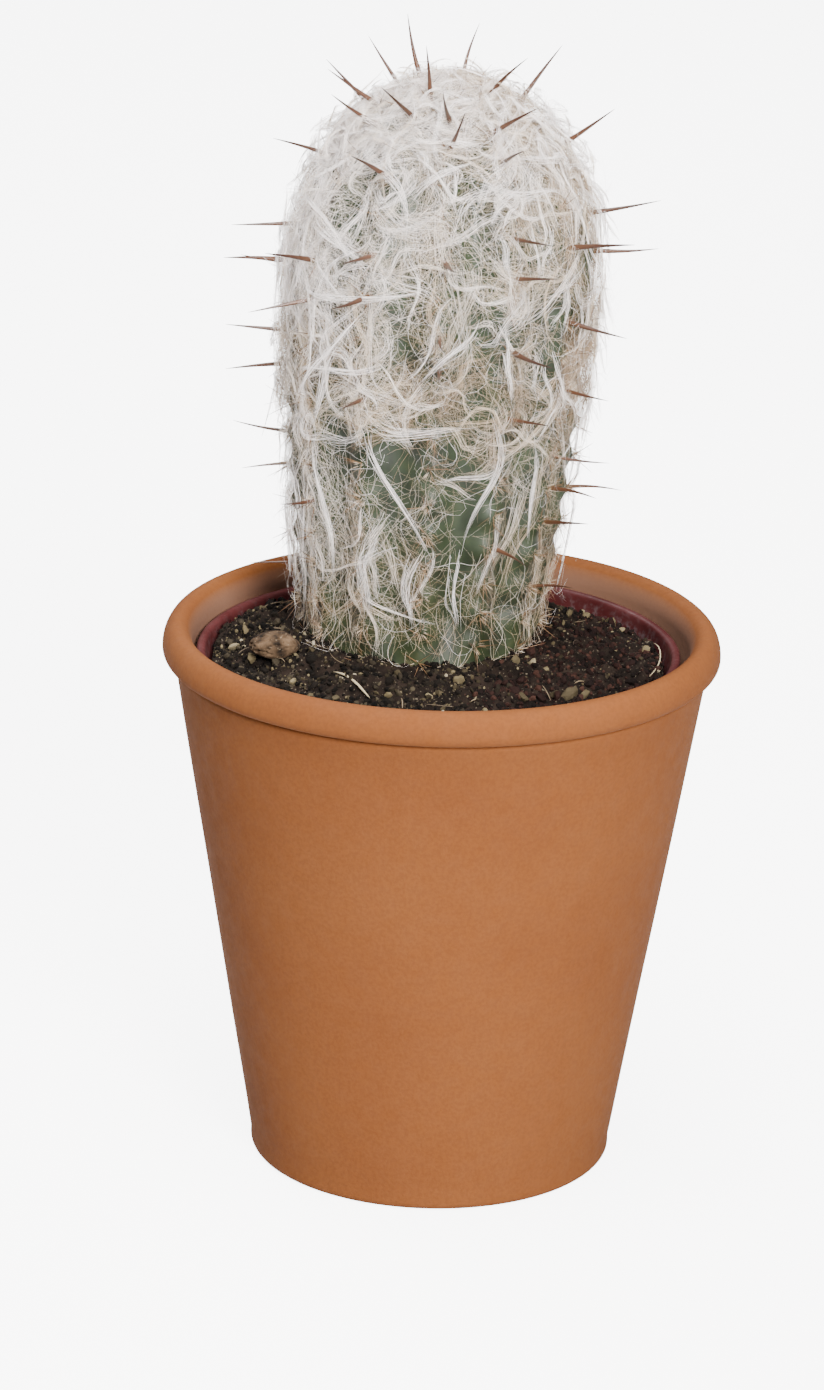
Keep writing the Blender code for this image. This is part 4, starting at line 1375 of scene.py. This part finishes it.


# Locks given one by one: four (rib, millimetres along the rib from the soil line) that each one passes.
FRONT_LOCKS = (
    ((-2.0, 120), (-1.0, 114), (-0.6, 109), (-0.5, 97)),
    ((-0.6, 108), (-0.2, 114), (0.1, 116), (0.5, 118)),
    ((-2.2, 103), (-1.7, 100), (-1.3, 98), (-0.9, 95)),
    ((-2.1, 89), (-1.5, 88), (-0.7, 90), (-0.2, 92)),
    ((-1.0, 87), (-1.4, 77), (-1.8, 69), (-2.1, 60)),
    ((-1.4, 78), (-1.5, 70), (-1.6, 63), (-1.8, 56)),
    ((-0.7, 74), (-1.2, 72), (-1.7, 71), (-2.0, 69)),
    ((0.5, 84), (0.3, 80), (0.1, 77), (-0.2, 71)),
    ((0.9, 85), (0.9, 77), (0.95, 72), (1.0, 66)),
    ((-0.9, 60), (-0.4, 59), (0.05, 60), (0.6, 61)),
    ((-0.9, 59), (-0.7, 50), (-0.3, 40), (0.1, 28)),
    ((0.7, 66), (0.95, 51), (0.7, 42), (0.5, 26)),
    ((1.55, 57), (1.55, 46), (1.55, 39), (1.6, 30)),
    ((-1.85, 53), (-1.65, 42), (-1.45, 32), (-1.45, 21)),
    ((-0.45, 32), (-0.9, 27), (-0.85, 20), (-0.9, 10)),
    ((-0.1, 30), (-0.25, 21), (-0.2, 17), (-0.15, 11)),
    ((0.55, 32), (0.45, 21), (0.5, 16), (0.6, 10)),
    ((0.5, 114), (1.1, 110), (1.6, 110), (2.0, 107)),
    ((1.4, 114), (1.05, 111), (0.8, 109), (0.6, 104)),
    ((-2.9, 104), (-2.1, 104), (-1.5, 100), (-1.2, 95)),
    ((-1.0, 138), (-0.3, 131), (-0.3, 124), (-0.1, 117)),
    ((2.0, 135), (2.1, 129), (2.35, 123), (2.6, 116)),
)


def lock_guides(rng, more):
    """Guide lines of the bright locks as (locks, 4 knots, 2): those listed, then seeded ones.

    A seeded lock falls straight down the rib with a slant and half a sine wave of bend.
    """
    chosen = np.array(FRONT_LOCKS, float) * (1.0, 0.001)
    share = shares(4)
    rib = rng.uniform(2.2, RIB_COUNT - 2.2, (more, 1))
    start = rng.uniform(0.034, 0.135, (more, 1))
    high = start > 0.058
    fall = np.where(high, rng.uniform(-0.012, 0.020, (more, 1)), rng.uniform(0.014, 0.028, (more, 1)))
    slant = rng.normal(0.0, 1.0, (more, 1)) * np.where(high, 0.9, 0.25)
    bend = rng.normal(0, 0.28, (more, 1)) * np.sin(math.pi * share)
    seeded = np.stack([rib + slant * share + bend, np.maximum(start - fall * share, 0.001)], -1)
    return np.concatenate([chosen, seeded])


def bezier(knots, points):
    """Points on the cubic Bezier curves that pass through the two inner knots at one and two thirds."""
    p0, p1, p2, p3 = (knots[:, k] for k in range(4))
    c1 = (-5.0 * p0 + 18.0 * p1 - 9.0 * p2 + 2.0 * p3) / 6.0
    c2 = (2.0 * p0 - 9.0 * p1 + 18.0 * p2 - 5.0 * p3) / 6.0
    t = np.linspace(0, 1, points)
    weights = np.stack([(1 - t) ** 3, 3 * t * (1 - t) ** 2, 3 * t * t * (1 - t), t ** 3])
    return np.einsum("lkc,kp->lpc", np.stack([p0, c1, c2, p3], 1), weights)


def build_locks(per, mat):
    """Bright locks: bundles of hairs that start apart, gather and end in a point."""
    rng = np.random.default_rng(301)
    lines = bezier(lock_guides(rng, SEEDED_LOCKS), LOCK_POINTS)
    angle, distance = FRONT_RIB_ANGLE + lines[..., 0] * RIB_STEP, lines[..., 1]
    n = len(lines)
    lift = 0.0018 + 0.0014 * upper_share(distance) + 0.0004 * rng.random((n, 1))
    height = fade(shares(LOCK_POINTS), 0.0, 0.15) * lift
    path = wisp_paths(rng, angle, distance, height, per, rng.uniform(0.00034, 0.00095, n))
    radius = taper(rng.uniform(0.000030, 0.000050, len(path[0])), LOCK_POINTS, 0.3)
    tint = np.clip(rng.normal(0.96, 0.04, len(path[0])), 0.8, 0.99)
    return wool_piece("bright_locks", path, radius, tint, mat)


def build_crown_tufts(mat):
    """Soft tufts that stand up from the crown between the spines."""
    rng = np.random.default_rng(351)
    n, points, per = 270, 7, 13
    distance = RIB_END - 0.042 * np.sqrt(rng.random(n))
    angle = rng.uniform(0, 2 * math.pi, n)
    heading = rng.uniform(0, 2 * math.pi, n)
    a, d = wander(rng, angle, distance, heading, rng.uniform(0.006, 0.015, n), rng.normal(0, 2.0, n),
                  rng.uniform(0.1, 0.8, n), points)
    arch = np.sin(math.pi * (0.05 + 0.55 * shares(points)))
    height = 0.0005 + rng.uniform(0.0020, 0.0056, (n, 1)) * arch
    path = wisp_paths(rng, a, d, height, per, rng.uniform(0.0002, 0.0008, n))
    hairs = len(path[0])
    radius = taper(rng.uniform(0.000026, 0.000046, hairs), points, 0.3)
    tint = np.clip(np.repeat(rng.normal(0.80, 0.18, n), per) + rng.normal(0, 0.04, hairs), 0.3, 0.99)
    return wool_piece("crown_tufts", path, radius, tint, mat)


def build_loose_wisps(mat):
    """Thin wisps that leave the coat at the sides and hang free, most of them on the right."""
    rng = np.random.default_rng(371)
    n, points, per = 84, 9, 8
    angle = np.where(rng.random(n) < 0.6, rng.normal(-0.15, 0.45, n), rng.uniform(0, 2 * math.pi, n))
    distance = rng.uniform(0.058, 0.128, n)
    a, d = wander(rng, angle, distance, rng.normal(math.pi, 0.5, n), rng.uniform(0.010, 0.019, n),
                  rng.normal(0, 0.8, n), rng.uniform(0.1, 0.5, n), points)
    height = 0.0020 + rng.uniform(0.0018, 0.0052, (n, 1)) * shares(points) ** 1.3
    path = wisp_paths(rng, a, d, height, per, rng.uniform(0.0002, 0.0006, n))
    radius = taper(rng.uniform(0.000022, 0.000040, len(path[0])), points, 0.3)
    tint = np.clip(rng.normal(0.86, 0.08, len(path[0])), 0.4, 0.99)
    return wool_piece("loose_wisps", path, radius, tint, mat)


def build_flyaways(count, mat):
    """Loose fine hairs that leave the coat and end in the air, further out on the right."""
    rng = np.random.default_rng(401)
    angle, distance = root_spots(rng, count, 0.5, 0.30)
    n, points = len(angle), 10
    heading = np.where(rng.random(n) < 0.5, rng.normal(math.pi, 0.6, n), rng.uniform(0, 2 * math.pi, n))
    a, d = wander(rng, angle, distance, heading, rng.uniform(0.008, 0.022, n), rng.normal(0, 2.4, n),
                  rng.uniform(0.3, 1.4, n), points)
    t = shares(points)
    right = 0.5 + 0.5 * np.cos(angle - math.radians(-10.0))
    upper = 0.5 + 0.5 * upper_share(distance)
    reach = rng.uniform(0.0006, 0.0040, n) * (0.45 + 0.85 * right) * upper
    height = 0.0016 + 0.0012 * t ** 0.6 + reach[:, None] * t ** 1.4
    path = (a, np.clip(d, 0.002, 2 * RIB_END), height)
    radius = taper(rng.uniform(0.000018, 0.000034, n), points, 0.3)
    tint = np.clip(rng.normal(0.85, 0.1, n), 0.4, 0.99)
    return wool_piece("flyaways", path, radius, tint, mat)


def build_hanging(count, mat):
    """Hairs that hang off the lowest wool down to the soil, many of them straw-coloured."""
    rng = np.random.default_rng(501)
    points = 10
    angle = rng.uniform(0, 2 * math.pi, count)
    distance = rng.uniform(0.003, 0.030, count)
    t = shares(points)
    a, d = wander(rng, angle, distance, rng.normal(math.pi, 0.35, count), rng.uniform(0.006, 0.022, count),
                  rng.normal(0, 0.9, count), rng.uniform(0.05, 0.6, count), points)
    arch = np.sin(math.pi * (0.1 + 0.75 * t))
    height = over_skin(a, d) + rng.uniform(0.0002, 0.0030, (count, 1)) * arch
    p = on_stem(a, np.maximum(d, 0.0), height)[0]
    p[..., 2] += np.minimum(d, 0.0)
    p[..., 2] = np.maximum(p[..., 2], soil_level(p[..., 0], p[..., 1]) + 0.0003)
    radius = taper(rng.uniform(0.000022, 0.000045, count), points, 0.4)
    straw = rng.random(count) < 0.5
    tint = np.where(straw, rng.uniform(0.05, 0.25, count), rng.uniform(0.30, 0.65, count))
    return finish_piece(tubes("hanging_hairs", p, radius, tint, mat), "white_wool")


def build_areole_felt(mat):
    """Short tan felt on every areole: a tuft of stubby hairs leaning outwards."""
    rng = np.random.default_rng(601)
    points = 4
    rib, distance = areole_spots(16)
    n = len(rib)
    spin = rng.uniform(0, 2 * math.pi, n)
    away = np.sqrt(rng.random(n)) * 0.0011
    t = shares(points)
    out = away[:, None] + 0.0008 * t
    a = FRONT_RIB_ANGLE + rib[:, None] * RIB_STEP + out * (np.cos(spin) / girth(distance, 0.006))[:, None]
    d = distance[:, None] + out * 1.2 * np.sin(spin)[:, None]
    height = over_skin(a, d) - 0.0002 + rng.uniform(0.0010, 0.0030, n)[:, None] * t
    radius = taper(rng.uniform(0.00004, 0.00008, n), points, 0.4)
    return wool_piece("areole_felt", (a, d, height), radius, rng.uniform(0.02, 0.36, n), mat)


# =====================================================================
# Stage and camera
# =====================================================================
AIM = (-0.00663, 0.0, 0.11226)
CAMERA_DISTANCE = 1.4011
CAMERA_ELEVATION = math.radians(19.24)
CAMERA_ROLL = math.radians(1.38)
CAMERA_LENS = 155.4
STAGE_GLOW = 6.5
PLANT_GLOW = 0.018
FLOOR_HALF = 6.0
# name, place, the point it faces, width, power in watts, colour
LIGHTS = (
    ("key", (0.47, -1.43, 0.85), (0, 0, 0.13), 0.6, 92.0, (1.0, 0.97, 0.94)),
    ("back", (-0.75, 0.95, 1.45), (0, 0, 0.17), 0.8, 24.0, (1.0, 0.97, 1.0)),
    ("top", (-0.15, -0.45, 1.8), (0, 0, 0.15), 1.1, 74.0, (1.0, 0.98, 0.98)),
)


def camera_glow(tree):
    """White to the camera and nearly dark to other rays, so that the stage hardly lights the plant."""
    path = tree.nodes.new("ShaderNodeLightPath")
    return ramp(tree, path.outputs["Is Camera Ray"], ((0.0, PLANT_GLOW), (1.0, 1.0)))


def build_stage(floor_colour):
    """The floor: one big square just under the pot."""
    mat, tree, shader = new_material("pale_floor", 0.9)
    shader.inputs["Base Color"].default_value = (*floor_colour, 1.0)
    tree.links.new(camera_glow(tree), shader.inputs["Emission Color"])
    shader.inputs["Emission Strength"].default_value = STAGE_GLOW
    corners = np.array([(-1, -1, 0), (1, -1, 0), (1, 1, 0), (-1, 1, 0)]) * FLOOR_HALF
    mesh_piece("floor", corners - (0, 0, 0.0002), np.array([[0, 1, 2, 3]]), mat)


def area_light(name, place, aim, size, power, colour):
    """A round lamp that faces a point."""
    data = bpy.data.lights.new(name, "AREA")
    data.shape = "DISK"
    data.size = size
    data.energy = power
    data.color = colour
    obj = link(bpy.data.objects.new(name, data))
    obj.location = place
    obj.rotation_euler = (Vector(aim) - Vector(place)).to_track_quat("-Z", "Y").to_euler()


def build_lights():
    """The lamps and the world's glow."""
    for row in LIGHTS:
        area_light(*row)
    world = bpy.data.worlds.new("studio")
    bpy.context.scene.world = world
    world.use_nodes = True
    background = world.node_tree.nodes["Background"]
    world.node_tree.links.new(camera_glow(world.node_tree), background.inputs["Color"])
    background.inputs["Strength"].default_value = STAGE_GLOW


def build_camera():
    """The camera looks at its aim from the front, raised by its elevation and rolled a little."""
    data = bpy.data.cameras.new("camera")
    data.lens = CAMERA_LENS
    data.clip_end = 50.0
    obj = link(bpy.data.objects.new("camera", data))
    back = Vector((0.0, -math.cos(CAMERA_ELEVATION), math.sin(CAMERA_ELEVATION)))
    obj.location = Vector(AIM) + back * CAMERA_DISTANCE
    look = back.to_track_quat("Z", "Y").to_matrix().to_4x4()
    obj.rotation_euler = (look @ Matrix.Rotation(CAMERA_ROLL, 4, "Z")).to_euler()
    bpy.context.scene.camera = obj


# =====================================================================
# Add-on: settings, operators, panel
# =====================================================================
class PotSettings(bpy.types.PropertyGroup):
    """Colours of the pots and the soil"""
    clay_colour: bpy.props.FloatVectorProperty(
        name="Clay colour", description="Colour of the unglazed clay", subtype="COLOR", size=3,
        min=0.0, max=1.0, default=(0.135, 0.0440, 0.0107))
    plastic_colour: bpy.props.FloatVectorProperty(
        name="Plastic colour", description="Colour of the inner nursery pot", subtype="COLOR", size=3,
        min=0.0, max=1.0, default=(0.037, 0.0060, 0.0062))
    peat_colour: bpy.props.FloatVectorProperty(
        name="Peat colour", description="Colour of the damp soil", subtype="COLOR", size=3,
        min=0.0, max=1.0, default=(0.0045, 0.0030, 0.0022))


class PlantSettings(bpy.types.PropertyGroup):
    """The skin, the spines and how much wool there is"""
    skin_colour: bpy.props.FloatVectorProperty(
        name="Skin colour", description="Green of the stem between the ribs", subtype="COLOR", size=3,
        min=0.0, max=1.0, default=(0.0120, 0.0225, 0.0075))
    spine_radius: bpy.props.FloatProperty(
        name="Spine radius", description="Radius of a long spine at its foot", subtype="DISTANCE",
        unit="LENGTH", min=0.0002, max=0.002, default=0.00074)
    haze_clumps: bpy.props.IntProperty(
        name="Fine clumps", description="Clumps of fine hair in each of the four haze pieces", min=10,
        default=480)
    wisps: bpy.props.IntProperty(
        name="Wisps", description="Wisps of hair in each of the four wisp pieces", min=10, default=245)
    lock_hairs: bpy.props.IntProperty(
        name="Lock hairs", description="Hairs in each bright lock", min=3, default=15)


class StageSettings(bpy.types.PropertyGroup):
    """The studio floor"""
    floor_colour: bpy.props.FloatVectorProperty(
        name="Floor colour", description="Colour of the studio floor", subtype="COLOR", size=3,
        min=0.0, max=1.0, default=(0.52, 0.52, 0.52))


class BuildPots(bpy.types.Operator):
    """Build the clay pot and the nursery pot inside it"""
    bl_idname = "cactus.build_pots"
    bl_label = "Pots"

    def execute(self, context):
        settings = context.scene.cactus_pot
        build_clay_pot(tuple(settings.clay_colour))
        build_nursery_pot(tuple(settings.plastic_colour))
        return {"FINISHED"}


class BuildSoil(bpy.types.Operator):
    """Build the soil bed with its crumbs, grit, stones, porous lump and dry fibres"""
    bl_idname = "cactus.build_soil"
    bl_label = "Soil"

    def execute(self, context):
        build_soil(tuple(context.scene.cactus_pot.peat_colour))
        build_soil_crumbs()
        build_soil_grit()
        build_stones()
        build_pumice()
        build_debris()
        return {"FINISHED"}


class BuildStem(bpy.types.Operator):
    """Build the ribbed stem"""
    bl_idname = "cactus.build_stem"
    bl_label = "Stem"

    def execute(self, context):
        build_stem(tuple(context.scene.cactus_plant.skin_colour))
        return {"FINISHED"}


class BuildSpines(bpy.types.Operator):
    """Build the long spines and the small bristles round them"""
    bl_idname = "cactus.build_spines"
    bl_label = "Spines"

    def execute(self, context):
        build_long_spines(context.scene.cactus_plant.spine_radius)
        build_radial_spines()
        return {"FINISHED"}


class BuildWool(bpy.types.Operator):
    """Build the wool: felt, haze, wisps, locks, crown tufts, loose wisps, hanging hairs and flyaways"""
    bl_idname = "cactus.build_wool"
    bl_label = "Wool"

    def execute(self, context):
        settings = context.scene.cactus_plant
        # the number after each material name is how dark the painted shade at the hair roots is
        felt = hair_material("areole_felt", 0.8)
        fine = hair_material("fine_hair", 0.55)
        long_hair = hair_material("long_hair", 0.7)
        build_areole_felt(felt)
        for index in range(1, 5):
            build_haze(index, settings.haze_clumps, fine)
        for index in range(1, 5):
            build_wisps(index, settings.wisps, long_hair)
        build_locks(settings.lock_hairs, long_hair)
        build_crown_tufts(long_hair)
        build_loose_wisps(long_hair)
        build_hanging(HANGING_HAIRS, long_hair)
        build_flyaways(FLYAWAY_HAIRS, long_hair)
        return {"FINISHED"}


class BuildStage(bpy.types.Operator):
    """Build the floor, the lights and the camera"""
    bl_idname = "cactus.build_stage"
    bl_label = "Stage"

    def execute(self, context):
        build_stage(tuple(context.scene.cactus_stage.floor_colour))
        build_lights()
        build_camera()
        return {"FINISHED"}


OPERATORS = (BuildPots, BuildSoil, BuildStem, BuildSpines, BuildWool, BuildStage)


class CactusPanel(bpy.types.Panel):
    """Lists the settings and the build steps"""
    bl_idname = "VIEW3D_PT_cactus"
    bl_label = "Potted cactus"
    bl_space_type = "VIEW_3D"
    bl_region_type = "UI"
    bl_category = "Cactus"

    def draw(self, context):
        scene = context.scene
        for group, names in (
                (scene.cactus_pot, ("clay_colour", "plastic_colour", "peat_colour")),
                (scene.cactus_plant, ("skin_colour", "spine_radius", "haze_clumps", "wisps", "lock_hairs")),
                (scene.cactus_stage, ("floor_colour",))):
            for name in names:
                self.layout.prop(group, name)
        for operator in OPERATORS:
            self.layout.operator(operator.bl_idname)


GROUPS = {"cactus_pot": PotSettings, "cactus_plant": PlantSettings, "cactus_stage": StageSettings}
CLASSES = (*GROUPS.values(), *OPERATORS, CactusPanel)


def register():
    """Register the classes and give the scene its groups of settings."""
    for cls in CLASSES:
        bpy.utils.register_class(cls)
    for name, group in GROUPS.items():
        setattr(bpy.types.Scene, name, bpy.props.PointerProperty(type=group))


def unregister():
    """Take the settings and the classes away again, in the opposite order."""
    for name in reversed(GROUPS):
        delattr(bpy.types.Scene, name)
    for cls in reversed(CLASSES):
        bpy.utils.unregister_class(cls)


def main():
    """Build every piece."""
    register()
    bpy.ops.cactus.build_pots()
    bpy.ops.cactus.build_soil()
    bpy.ops.cactus.build_stem()
    bpy.ops.cactus.build_spines()
    bpy.ops.cactus.build_wool()
    bpy.ops.cactus.build_stage()


if __name__ == "__main__":
    main()
